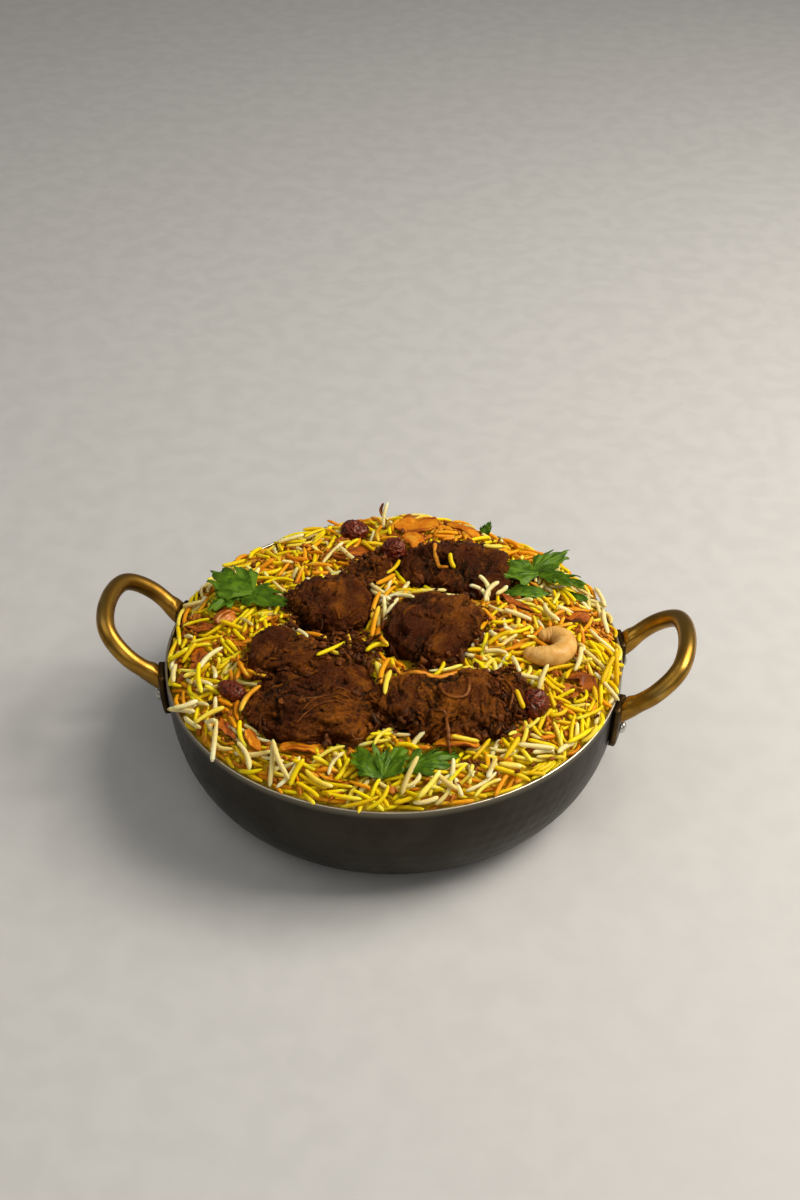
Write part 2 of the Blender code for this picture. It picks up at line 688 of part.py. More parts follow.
def settle(pieces, envelopes, rice):
    """Cut each piece clear of those before it, and the rice clear of them all."""
    bpy.context.view_layer.update()
    boxes = [bounds(piece) for piece in pieces]
    for i, piece in enumerate(pieces):
        near = [copy_of(envelopes[j]) for j in range(i) if boxes_meet(boxes[i], boxes[j])]
        if near:
            combine(piece, near, "DIFFERENCE")
    # The pockets meet each other at slivers that the exact solver leaves as loose crumbs.
    combine(rice, envelopes[::-1], "DIFFERENCE", "MANIFOLD")


def main():
    """Build the pan, the handles, the rice and everything on it."""
    clear_scene()
    finishes = {name: make_material(name) for name in COLOURS}
    parent = bpy.data.objects.new("serving", None)
    bpy.context.collection.objects.link(parent)

    make_pan(finishes["pan_steel"], parent)
    for side_name, turn in (("right", 0.0), ("left", math.pi)):
        make_handle(f"handle_{side_name}", turn, finishes["brass"], parent)
        for foot_name, direction in (("back", 1), ("front", -1)):
            angle = turn + direction * foot_angle() * (1 if turn == 0.0 else -1)
            make_rivet(f"rivet_{side_name}_{foot_name}", angle, finishes["rivet_steel"], parent)

    toppings = [(make_sprig, sprig) for sprig in SPRIGS]
    toppings.append((make_curved_nut, CASHEW))
    toppings += [(make_chunk, chunk) for chunk in RAISINS + NUTS]
    toppings += [(make_strip, strip) for strip in STRIPS]
    toppings += [(make_chunk, chunk) for chunk in MEATS]
    pieces = [make(spec, finishes[spec.finish], parent) for make, spec in toppings]
    envelopes = [make(spec, finishes[spec.finish], parent, ENVELOPE_GAP) for make, spec in toppings]
    settle(pieces, envelopes, make_rice(finishes["rice"], parent))


if __name__ == "__main__":
    main()
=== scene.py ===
"""Meat biryani in a two-handled serving pan: its looks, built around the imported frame.

Lengths are in millimetres until a mesh is made, where MM turns them into metres. The pan's base
is centred on the origin, +X points to the right handle, +Y to the back of the pan and +Z up.
"""

import logging
import math
from collections.abc import Callable
from dataclasses import dataclass, field, replace
from enum import Enum
from functools import reduce

import bmesh
import bpy
import numpy as np
from bpy.types import Material, Mesh, Node, NodeSocket as Socket, NodeTree, Object as Piece
from mathutils import Matrix, Vector, noise
from mathutils.bvhtree import BVHTree


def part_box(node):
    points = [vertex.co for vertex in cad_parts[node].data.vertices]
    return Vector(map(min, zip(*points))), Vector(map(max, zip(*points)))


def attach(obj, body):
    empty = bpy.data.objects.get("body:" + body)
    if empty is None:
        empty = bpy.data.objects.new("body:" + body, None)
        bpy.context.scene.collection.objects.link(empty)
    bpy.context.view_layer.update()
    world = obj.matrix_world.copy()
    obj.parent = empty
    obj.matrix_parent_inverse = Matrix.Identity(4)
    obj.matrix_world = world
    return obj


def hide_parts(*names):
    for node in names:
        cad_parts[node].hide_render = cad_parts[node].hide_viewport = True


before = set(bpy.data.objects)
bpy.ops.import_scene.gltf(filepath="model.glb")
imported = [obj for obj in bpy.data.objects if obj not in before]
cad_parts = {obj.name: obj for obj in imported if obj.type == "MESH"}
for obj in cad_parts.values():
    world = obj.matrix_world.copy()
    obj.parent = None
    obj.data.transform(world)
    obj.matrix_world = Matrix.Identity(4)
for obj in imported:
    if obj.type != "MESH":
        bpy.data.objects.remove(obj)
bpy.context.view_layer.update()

LOG = logging.getLogger("biryani")
MM = 0.001
BODY = "root"
UP = Vector((0.0, 0.0, 1.0))
PAN_LOW, PAN_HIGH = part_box("pan_body")
Colour = tuple[float, float, float, float]
Array = np.ndarray
Wire = Socket | float | tuple  # what feeds a node: an output socket or an even value


# Shared helpers

def tint(red: float, green: float, blue: float) -> Colour:
    """Linear colour of a screen colour given from 0 to 255.

    Args:
        red: Red part of the screen colour.
        green: Green part of the screen colour.
        blue: Blue part of the screen colour.

    Returns:
        The linear colour, opaque.
    """
    parts = [part / 255.0 for part in (red, green, blue)]
    linear = [part / 12.92 if part <= 0.04045 else ((part + 0.055) / 1.055) ** 2.4 for part in parts]
    return (linear[0], linear[1], linear[2], 1.0)


def smoothstep(low: float, high: float, value: Array) -> Array:
    """Smooth rise from 0 at low to 1 at high."""
    share = np.clip((value - low) / (high - low), 0.0, 1.0)
    return share * share * (3.0 - 2.0 * share)


def unit(vectors: Array) -> Array:
    """Vectors, one to a row, at length 1."""
    return vectors / np.linalg.norm(vectors, axis=1, keepdims=True)


def squared(values: Array, power: float | Array) -> Array:
    """Values raised to a power, with their signs kept."""
    return np.sign(values) * np.abs(values) ** power


def along_and_across(places: Array, heading: float) -> tuple[Array, Array]:
    """Places measured along and across a heading given in degrees."""
    turn = math.radians(heading)
    along = places[:, 0] * math.cos(turn) + places[:, 1] * math.sin(turn)
    return along, places[:, 1] * math.cos(turn) - places[:, 0] * math.sin(turn)


def noise_at(points: Array, scale: float | tuple, shift: float = 0.0) -> Array:
    """Smooth noise from -1 to 1 at each point.

    Args:
        points: Places, one to a row.
        scale: Features to a millimetre, alike in all directions or one number for each.
        shift: Moves the pattern, so that two uses differ.

    Returns:
        One value for each point.
    """
    spots = (points * np.asarray(scale) + shift).tolist()
    return np.array([noise.noise(spot) for spot in spots])


def noise_vectors(points: Array, scale: float, shift: float, parts: int = 3) -> Array:
    """Noise at points with a few independent parts."""
    return np.stack([noise_at(points, scale, shift + part) for part in range(parts)], axis=1)


def cell_distance(points: Array, scale: float) -> Array:
    """Distance from each point to the nearest of many scattered middles, in cells."""
    return np.array([noise.voronoi(spot)[0][0] for spot in (points * scale).tolist()])


def smooth_path(points: list, steps: int) -> Array:
    """Catmull-Rom curve through points.

    Args:
        points: The points that the curve runs through.
        steps: Steps between neighbouring points.

    Returns:
        The points of the curve, one to a row.
    """
    knots = np.array(points, float)
    knots = np.vstack([2 * knots[0] - knots[1], knots, 2 * knots[-1] - knots[-2]])
    path = []
    for before, start, end, after in zip(knots, knots[1:], knots[2:], knots[3:]):
        for step in range(steps):
            t = step / steps
            straight = (end - before) * t
            bend = (2 * before - 5 * start + 4 * end - after) * t * t
            turn = (3 * start - before - 3 * end + after) * t * t * t
            path.append(start + 0.5 * (straight + bend + turn))
    path.append(knots[-2])
    return np.array(path)


@dataclass
class Shell:
    """Vertices, faces and point values of one mesh, in millimetres."""

    vertices: Array
    quads: Array
    triangles: Array = field(default_factory=lambda: np.zeros((0, 3), int))
    values: dict = field(default_factory=dict)

    def joined(self, other: "Shell") -> "Shell":
        """This shell and another as one.

        Args:
            other: A shell that holds the same point values.

        Returns:
            A new shell.
        """
        start = len(self.vertices)
        return Shell(
            np.vstack([self.vertices, other.vertices]),
            np.vstack([self.quads, other.quads + start]),
            np.vstack([self.triangles, other.triangles + start]),
            {name: np.concatenate([value, other.values[name]]) for name, value in self.values.items()},
        )

    def close_ends(self, first: tuple, last: tuple, sides: int) -> None:
        """Close both ends of a turned shell with triangles round a middle point.

        Args:
            first: Middle of its first ring.
            last: Middle of its last ring.
            sides: Points in a ring.
        """
        count = len(self.vertices)
        self.vertices = np.vstack([self.vertices, first, last])
        self.triangles = np.vstack([fan(count, 0, sides), fan(count + 1, count - sides, sides, True)])

    def mesh(self, name: str) -> Mesh:
        """Blender mesh of the shell, in metres.

        Args:
            name: Name of the mesh.

        Returns:
            The mesh, smooth shaded, with the values as point attributes.
        """
        mesh = bpy.data.meshes.new(name)
        corners = np.concatenate([self.quads.ravel(), self.triangles.ravel()]).astype(np.int32)
        quad_starts = 4 * np.arange(len(self.quads))
        triangle_starts = 4 * len(self.quads) + 3 * np.arange(len(self.triangles))
        mesh.vertices.add(len(self.vertices))
        mesh.vertices.foreach_set("co", (self.vertices * MM).astype(np.float32).ravel())
        mesh.loops.add(len(corners))
        mesh.loops.foreach_set("vertex_index", corners)
        mesh.polygons.add(len(self.quads) + len(self.triangles))
        mesh.polygons.foreach_set("loop_start", np.concatenate([quad_starts, triangle_starts]))
        mesh.update(calc_edges=True)
        mesh.shade_smooth()
        add_values(mesh, self.values)
        return mesh


def add_values(mesh: Mesh, values: dict) -> None:
    """Store named point values on a mesh for its material to read.

    Args:
        mesh: The mesh.
        values: Name to one number for each vertex.
    """
    for name, value in values.items():
        attribute = mesh.attributes.new(name, "FLOAT", "POINT")
        attribute.data.foreach_set("value", np.asarray(value, np.float32))


def add_piece(name: str, mesh: Mesh, material: Material, slot: str,
              nodes: tuple = ()) -> Piece:
    """Link a mesh as a piece that rides on the part and may stand for nodes of its frame.

    Args:
        name: Name of the piece.
        mesh: Its mesh, in metres.
        material: Its finish.
        slot: Slot of the finish; not used.
        nodes: Frame nodes that the piece stands for.

    Returns:
        The piece.
    """
    mesh.materials.clear()
    mesh.materials.append(material)
    piece = bpy.data.objects.new(name, mesh)
    bpy.context.collection.objects.link(piece)
    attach(piece, BODY)
    if nodes:
        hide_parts(*nodes)
    LOG.info("%s: %d faces", name, len(mesh.polygons))
    return piece


def grid_quads(rows: int, columns: int, closed: bool) -> Array:
    """Faces of a grid of points stored row by row.

    Args:
        rows: Rows of points.
        columns: Points in a row.
        closed: Whether each row closes on itself.

    Returns:
        Four point numbers for each face.
    """
    row, column = np.meshgrid(np.arange(rows - 1), np.arange(columns if closed else columns - 1), indexing="ij")
    following = (column + 1) % columns
    corners = [row * columns + column, row * columns + following,
               (row + 1) * columns + following, (row + 1) * columns + column]
    return np.stack(corners, axis=-1).reshape(-1, 4)


def fan(tip: int, start: int, count: int, turned_over: bool = False) -> Array:
    """Triangles from a tip to a closed ring of points.

    Args:
        tip: Number of the tip.
        start: Number of the ring's first point.
        count: Points in the ring.
        turned_over: Whether the triangles face the other way.

    Returns:
        Three point numbers for each triangle.
    """
    side = start + np.arange(count)
    following = np.roll(side, -1)
    pair = [following, side] if turned_over else [side, following]
    return np.stack([np.full(count, tip), *pair], axis=1)


def turned(profile: Array, segments: int) -> Shell:
    """Shell of a profile turned about the vertical axis, open at both ends.

    Args:
        profile: Radius and height of each point, one to a row.
        segments: Steps round the axis.

    Returns:
        The shell, with no point values.
    """
    turns = np.arange(segments) * math.tau / segments
    radius = profile[:, :1]
    vertices = np.stack(
        [radius * np.cos(turns), radius * np.sin(turns), np.repeat(profile[:, 1:], segments, axis=1)], axis=-1
    )
    quads = grid_quads(len(profile), segments, True)[:, ::-1]
    return Shell(vertices.reshape(-1, 3), quads)


def sweep(lines: Array, headings: Array, widths: Array, heights: Array,
          rolls: Array, sides: int) -> Shell:
    """Closed rods along many lines of equal point count.

    Args:
        lines: Middles, as rod by point by coordinate; the first and last are the rod's tips.
        headings: Direction of each rod seen from above, in radians.
        widths: Half width, as rod by point.
        heights: Half height, as rod by point.
        rolls: Turn about each middle line, as rod by point, in radians.
        sides: Points round a rod.

    Returns:
        One shell of all the rods, with "along" running from 0 to 1 on each.
    """
    count, points = lines.shape[:2]
    rings = points - 2
    along = np.gradient(lines, axis=1)
    along /= np.linalg.norm(along, axis=2, keepdims=True) + 1e-9
    level = np.cross([0.0, 0.0, 1.0], along)
    given = np.stack([-np.sin(headings), np.cos(headings), np.zeros(count)], axis=1)[:, None, :]
    steep = np.linalg.norm(level, axis=2, keepdims=True) < 0.25
    level = np.where(steep, given, level)
    rise = np.cross(along, level)
    rise /= np.linalg.norm(rise, axis=2, keepdims=True) + 1e-9
    across = np.cross(rise, along)
    turns = np.arange(sides) * math.tau / sides
    u = widths[:, 1:-1, None] * np.cos(turns)
    v = heights[:, 1:-1, None] * np.sin(turns)
    cosine = np.cos(rolls[:, 1:-1, None])
    sine = np.sin(rolls[:, 1:-1, None])
    out = lines[:, 1:-1, None, :] + (u * cosine - v * sine)[..., None] * across[:, 1:-1, None, :]
    out = out + (u * sine + v * cosine)[..., None] * rise[:, 1:-1, None, :]
    body = out.reshape(count, rings * sides, 3)
    vertices = np.concatenate([body, lines[:, :1], lines[:, -1:]], axis=1)
    each = rings * sides + 2
    starts = (np.arange(count) * each)[:, None, None]
    quads = grid_quads(rings, sides, True)[None] + starts
    tip = rings * sides
    triangles = np.concatenate([fan(tip, 0, sides, True), fan(tip + 1, tip - sides, sides)])[None] + starts
    share = np.repeat(np.linspace(0.0, 1.0, points)[1:-1], sides)
    share = np.concatenate([share, [0.0, 1.0]])
    along = {"along": np.tile(share, count)}
    return Shell(vertices.reshape(-1, 3), quads.reshape(-1, 4), triangles.reshape(-1, 3), along)


def repeated(values: Array, shell: Shell) -> Array:
    """One number for each rod of a swept shell, spread over its vertices."""
    return np.repeat(values, len(shell.vertices) // len(values))


def refined(node: str, voxel: float, rounding: int) -> Mesh:
    """Even, rounded mesh of a frame node, with each face then cut in four.

    Args:
        node: The frame node.
        voxel: Size of the first mesh's faces.
        rounding: Smoothing steps.

    Returns:
        A new mesh, in metres.
    """
    copy = bpy.data.objects.new("refined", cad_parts[node].data.copy())
    bpy.context.collection.objects.link(copy)
    remesh = copy.modifiers.new("Even", "REMESH")
    remesh.mode = "VOXEL"
    remesh.voxel_size = voxel * MM
    rounder = copy.modifiers.new("Round", "SMOOTH")
    rounder.factor = 0.5
    rounder.iterations = rounding
    copy.modifiers.new("Finer", "SUBSURF").levels = 1
    bpy.context.view_layer.update()
    graph = bpy.context.evaluated_depsgraph_get()
    mesh = bpy.data.meshes.new_from_object(copy.evaluated_get(graph))
    bpy.data.objects.remove(copy)
    mesh.name = node
    mesh.shade_smooth()
    for attribute in [item for item in mesh.attributes if item.name.startswith("_") or item.name == "fk"]:
        mesh.attributes.remove(attribute)
    return mesh


def points_of(mesh: Mesh) -> tuple[Array, Array]:
    """Places in millimetres and outward directions of a mesh's vertices."""
    places = np.zeros(len(mesh.vertices) * 3)
    mesh.vertices.foreach_get("co", places)
    directions = np.zeros(len(mesh.vertices) * 3)
    mesh.vertex_normals.foreach_get("vector", directions)
    return places.reshape(-1, 3) / MM, directions.reshape(-1, 3)


def move_points(mesh: Mesh, places: Array) -> None:
    """Give a mesh's vertices new places, in millimetres."""
    mesh.vertices.foreach_set("co", (places * MM).astype(np.float32).ravel())
    mesh.update()


def close_tips(mesh: Mesh) -> None:
    """Join points that lie on each other and fill what is still open."""
    work = bmesh.new()
    work.from_mesh(mesh)
    bmesh.ops.remove_doubles(work, verts=work.verts, dist=0.02 * MM)
    bmesh.ops.dissolve_degenerate(work, edges=work.edges, dist=0.005 * MM)
    open_edges = [edge for edge in work.edges if edge.is_boundary]
    if open_edges:
        bmesh.ops.holes_fill(work, edges=open_edges)
    work.to_mesh(mesh)
    work.free()
    mesh.shade_smooth()


def surface_of(pieces: list) -> BVHTree:
    """Tree of the faces of several pieces, in millimetres, for finding what lies where."""
    vertices, faces = [], []
    for piece in pieces:
        start = len(vertices)
        vertices += [vertex.co / MM for vertex in piece.data.vertices]
        faces += [[start + corner for corner in face.vertices] for face in piece.data.polygons]
    return BVHTree.FromPolygons(vertices, faces)


# Finishes

class NodeSheet:
    """One node tree being laid out, with its nodes' sockets set or linked as they are added."""

    def __init__(self, tree: NodeTree) -> None:
        """Work on a node tree."""
        self.tree = tree

    def add(self, kind: str, inputs: dict | None = None, **settings: object) -> Node:
        """Add a node.

        Args:
            kind: Type name of the node, without its ShaderNode start.
            inputs: Socket name or number to a value, or to the output socket that feeds it.
            **settings: Properties of the node.

        Returns:
            The node.
        """
        node = self.tree.nodes.new("ShaderNode" + kind)
        for name, value in settings.items():
            setattr(node, name, value)
        for name, value in (inputs or {}).items():
            if isinstance(value, Socket):
                self.tree.links.new(value, node.inputs[name])
            else:
                node.inputs[name].default_value = value
        return node

    def math(self, operation: str, first: Wire, second: Wire = 0.0) -> Socket:
        """Result of a sum of two values."""
        return self.add("Math", {0: first, 1: second}, operation=operation).outputs[0]

    def mix(self, share: Wire, first: Wire, second: Wire) -> Socket:
        """Colour between two colours."""
        return self.add("Mix", {0: share, 6: first, 7: second}, data_type="RGBA").outputs[2]

    def span(self, value: Wire, low: Wire, high: Wire, new_low: Wire = 0.0, new_high: Wire = 1.0) -> Socket:
        """Value moved smoothly from one span to another.

        Args:
            value: The value.
            low: Start of its span.
            high: End of its span.
            new_low: What low becomes.
            new_high: What high becomes.

        Returns:
            The moved value.
        """
        spans = {"Value": value, "From Min": low, "From Max": high, "To Min": new_low, "To Max": new_high}
        return self.add("MapRange", spans, interpolation_type="SMOOTHSTEP").outputs["Result"]

    def point_value(self, name: str) -> Socket:
        """A point value that the mesh carries."""
        return self.add("Attribute", attribute_name=name).outputs["Fac"]

    def place(self) -> Socket:
        """Place on the piece."""
        return self.add("TexCoord").outputs["Object"]

    def group(self, effect: "Effect", inputs: dict) -> Node:
        """Place a shared effect with its own values."""
        return self.add("Group", inputs, node_tree=EFFECTS.get(effect))


class Effect(Enum):
    """Effects that several finishes share, each a node group built once."""

    MOTTLE = "Mottle"
    FIBRES = "Fibres"
    GRAIN_DYE = "Grain Dye"
    METAL_WEAR = "Metal Wear"


class EffectLibrary:
    """Builds each shared effect the first time that it is asked for."""

    GREY = (0.5, 0.5, 0.5, 1.0)

    def __init__(self) -> None:
        """Start with no effect built."""
        self._makers = {
            Effect.MOTTLE: self._mottle,
            Effect.FIBRES: self._fibres,
            Effect.GRAIN_DYE: self._grain_dye,
            Effect.METAL_WEAR: self._metal_wear,
        }

    def get(self, effect: Effect) -> NodeTree:
        """The node group of an effect."""
        return bpy.data.node_groups.get(effect.value) or self._makers[effect]()

    @staticmethod
    def _start(effect: Effect, inputs: dict, outputs: dict) -> tuple:
        """Begin a group.

        Args:
            effect: Which effect it is.
            inputs: Input name to its starting value; a number or a colour.
            outputs: Output name to its socket type.

        Returns:
            The tree, its sheet, and the group's input and output nodes.
        """
        tree = bpy.data.node_groups.new(effect.value, "ShaderNodeTree")
        for name, value in inputs.items():
            kind = "NodeSocketColor" if isinstance(value, tuple) else "NodeSocketFloat"
            tree.interface.new_socket(name=name, in_out="INPUT", socket_type=kind).default_value = value
        for name, kind in outputs.items():
            tree.interface.new_socket(name=name, in_out="OUTPUT", socket_type=kind)
        sheet = NodeSheet(tree)
        return tree, sheet, tree.nodes.new("NodeGroupInput"), tree.nodes.new("NodeGroupOutput")

    def _mottle(self) -> NodeTree:
        """Cloudy blend of two colours, with its mask for roughness and bump."""
        tree, sheet, given, made = self._start(
            Effect.MOTTLE,
            {"Scale": 500.0, "Distortion": 0.3, "Start": 0.35, "End": 0.65,
             "First": self.GREY, "Second": self.GREY},
            {"Color": "NodeSocketColor", "Mask": "NodeSocketFloat"},
        )
        cloud = sheet.add("TexNoise", {"Vector": sheet.place(), "Scale": given.outputs["Scale"], "Detail": 4.0,
                                       "Distortion": given.outputs["Distortion"]})
        mask = sheet.span(cloud.outputs["Fac"], given.outputs["Start"], given.outputs["End"])
        tree.links.new(sheet.mix(mask, given.outputs["First"], given.outputs["Second"]), made.inputs["Color"])
        tree.links.new(mask, made.inputs["Mask"])
        return tree

    def _fibres(self) -> NodeTree:
        """Fine threads across a point value that runs over the width of the fibres."""
        tree, sheet, given, made = self._start(
            Effect.FIBRES, {"Across": 0.0, "Along": 0.0, "Scale": 1.0, "Wave": 0.6},
            {"Mask": "NodeSocketFloat"},
        )
        spot = sheet.add("CombineXYZ", {"X": given.outputs["Across"], "Y": given.outputs["Along"]})
        thread = sheet.add(
            "TexNoise",
            {"Vector": spot.outputs[0], "Scale": given.outputs["Scale"], "Detail": 3.0,
             "Distortion": given.outputs["Wave"]},
        )
        tree.links.new(sheet.span(thread.outputs["Fac"], 0.3, 0.7), made.inputs["Mask"])
        return tree

    def _grain_dye(self) -> NodeTree:
        """Colour of a rice grain: its own shade, a paler end and fine clouding."""
        tree, sheet, given, made = self._start(
            Effect.GRAIN_DYE,
            {"Deep": self.GREY, "Light": self.GREY, "End": self.GREY, "Reach": 0.5},
            {"Color": "NodeSocketColor", "Mask": "NodeSocketFloat"},
        )
        shade = sheet.point_value("shade")
        body = sheet.mix(shade, given.outputs["Deep"], given.outputs["Light"])
        cloud = sheet.add("TexNoise", {"Vector": sheet.place(), "Scale": 700.0, "Detail": 3.0})
        ragged = sheet.math("MULTIPLY_ADD", cloud.outputs["Fac"], 0.35)
        ragged.node.inputs[2].default_value = -0.17
        along = sheet.math("ADD", sheet.point_value("dye"), ragged)
        undyed = sheet.span(along, given.outputs["Reach"], 1.0)
        tree.links.new(sheet.mix(undyed, body, given.outputs["End"]), made.inputs["Color"])
        tree.links.new(sheet.span(cloud.outputs["Fac"], 0.35, 0.65), made.inputs["Mask"])
        return tree

    def _metal_wear(self) -> NodeTree:
        """Satin metal: clouds of tarnish, fine scratches, and the roughness that goes with them."""
        tree, sheet, given, made = self._start(
            Effect.METAL_WEAR,
            {"Clean": self.GREY, "Tarnished": self.GREY, "Tarnish": 0.5, "Smooth": 0.25, "Rough": 0.45,
             "Scale": 60.0},
            {"Color": "NodeSocketColor", "Roughness": "NodeSocketFloat", "Height": "NodeSocketFloat"},
        )
        place = sheet.place()
        cloud = sheet.add("TexNoise", {"Vector": place, "Scale": given.outputs["Scale"], "Detail": 5.0})
        tarnish = sheet.math("MULTIPLY", sheet.span(cloud.outputs["Fac"], 0.35, 0.65), given.outputs["Tarnish"])
        scratch = sheet.add("TexNoise", {"Vector": place, "Scale": 2200.0, "Detail": 2.0})
        colour = sheet.mix(tarnish, given.outputs["Clean"], given.outputs["Tarnished"])
        tree.links.new(colour, made.inputs["Color"])
        blend = sheet.math("ADD", tarnish, sheet.math("MULTIPLY", scratch.outputs["Fac"], 0.3))
        ends = {"Value": blend, "To Min": given.outputs["Smooth"], "To Max": given.outputs["Rough"]}
        rough = sheet.add("MapRange", ends)
        tree.links.new(rough.outputs["Result"], made.inputs["Roughness"])
        tree.links.new(scratch.outputs["Fac"], made.inputs["Height"])
        return tree


EFFECTS = EffectLibrary()


class MaterialSheet(NodeSheet):
    """Node tree of a new material, round its Principled shader."""

    def __init__(self, name: str, constants: dict) -> None:
        """Start a material.

        Args:
            name: Name of the material.
            constants: Shader socket to its even value.
        """
        self.material = bpy.data.materials.new(name)
        self.material.use_nodes = True
        super().__init__(self.material.node_tree)
        self.shader = self.tree.nodes["Principled BSDF"]
        for socket, value in constants.items():
            self.shader.inputs[socket].default_value = value

    def finished(self, colour: Socket, roughness: Socket, relief: Socket,
                 strength: float, depth: float) -> Material:
        """Link what varies over the surface to the shader.

        Args:
            colour: The colour.
            roughness: The roughness.
            relief: Height of the fine relief, from 0 to 1.
            strength: How strongly the relief shows.
            depth: Depth of the relief in millimetres.

        Returns:
            The material.
        """
        bump = self.add("Bump", {"Height": relief, "Strength": strength, "Distance": depth * MM})
        fed = {"Base Color": colour, "Roughness": roughness, "Normal": bump.outputs["Normal"]}
        for name, socket in fed.items():
            self.tree.links.new(socket, self.shader.inputs[name])
        return self.material


@dataclass(frozen=True)
class MetalFinish:
    """Satin metal with tarnish; where the mesh's polishing value is high it is brighter and smoother: real
    polishing, and on the pan's rim and the handles' outer edges also a painted highlight.
    """

    name: str
    clean: Colour
    tarnished: Colour
    polished: Colour
    tarnish: float
    smooth: float
    rough: float
    cloud_scale: float = 60.0

    def material(self) -> Material:
        """The metal's material."""
        sheet = MaterialSheet(self.name, {"Metallic": 1.0})
        wear = sheet.group(Effect.METAL_WEAR, {
            "Clean": self.clean, "Tarnished": self.tarnished, "Tarnish": self.tarnish,
            "Smooth": self.smooth, "Rough": self.rough, "Scale": self.cloud_scale,
        })
        polish = sheet.point_value("polish")
        # Brighter colour from the polishing value: real polishing, and a painted highlight on the pan's rim and
        # the handles' outer edges.
        colour = sheet.mix(polish, wear.outputs["Color"], self.polished)
        roughness = sheet.math("SUBTRACT", wear.outputs["Roughness"], sheet.math("MULTIPLY", polish, 0.1))
        return sheet.finished(colour, roughness, wear.outputs["Height"], 0.25, 0.03)


@dataclass(frozen=True)
class RiceFinish:
    """Cooked rice of one dye, uneven from grain to grain and paler at one end."""

    name: str
    deep: Colour
    light: Colour
    end: Colour
    reach: float
    sheen: Colour = (1.0, 0.86, 0.5, 1.0)

    def material(self) -> Material:
        """The grains' material."""
        sheet = MaterialSheet(
            self.name,
            {"Subsurface Weight": 0.8, "Subsurface Radius": (1.0, 0.75, 0.25), "Subsurface Scale": 2.2 * MM,
             "Specular IOR Level": 0.3, "Specular Tint": self.sheen},
        )
        shades = {"Deep": self.deep, "Light": self.light, "End": self.end, "Reach": self.reach}
        dye = sheet.group(Effect.GRAIN_DYE, shades)
        mask = dye.outputs["Mask"]
        roughness = sheet.span(mask, 0.0, 1.0, 0.36, 0.55)
        return sheet.finished(dye.outputs["Color"], roughness, mask, 0.3, 0.08)


@dataclass(frozen=True)
class MottledFinish:
    """Two cloudy colours, darker where "ridge" is low and lighter where it is high, for most food pieces:
    painted shade in hollows and painted highlight on crests where "ridge" follows the relief, tone that differs
    at random on the small bits.
    """

    name: str
    first: Colour
    second: Colour
    hollow_shade_and_tone: Colour
    ridge: Colour
    scale: float
    smooth: float
    rough: float
    relief: float = 0.2
    coat: float = 0.0
    translucency: float = 0.0
    sheen: Colour = (1.0, 0.72, 0.42, 1.0)

    def material(self) -> Material:
        """The food's material; the mesh carries the point value "ridge": its relief on most pieces, its streaks
        on the nut, a random tone on the small bits and threads.
        """
        sheet = MaterialSheet(
            self.name,
            {"Subsurface Weight": self.translucency, "Subsurface Radius": (1.0, 0.4, 0.15),
             "Subsurface Scale": 1.0 * MM, "Specular IOR Level": 0.3, "Specular Tint": self.sheen,
             "Coat Weight": self.coat, "Coat Roughness": 0.2, "Coat Tint": self.sheen},
        )
        cloud = sheet.group(Effect.MOTTLE, {"Scale": self.scale, "First": self.first, "Second": self.second})
        fine = sheet.group(Effect.MOTTLE, {"Scale": self.scale * 4.0, "Distortion": 0.8})
        ridge = sheet.point_value("ridge")
        # Darker where ridge is low, lighter where it is high: painted shade and painted highlight where ridge
        # follows the relief, random tone on the small bits.
        colour = sheet.mix(sheet.span(ridge, 0.45, 0.1), cloud.outputs["Color"], self.hollow_shade_and_tone)
        lit = sheet.math("MULTIPLY", sheet.span(ridge, 0.55, 0.95), fine.outputs["Mask"])
        colour = sheet.mix(lit, colour, self.ridge)
        roughness = sheet.span(fine.outputs["Mask"], 0.0, 1.0, self.smooth, self.rough)
        return sheet.finished(colour, roughness, fine.outputs["Mask"], 0.6, self.relief)


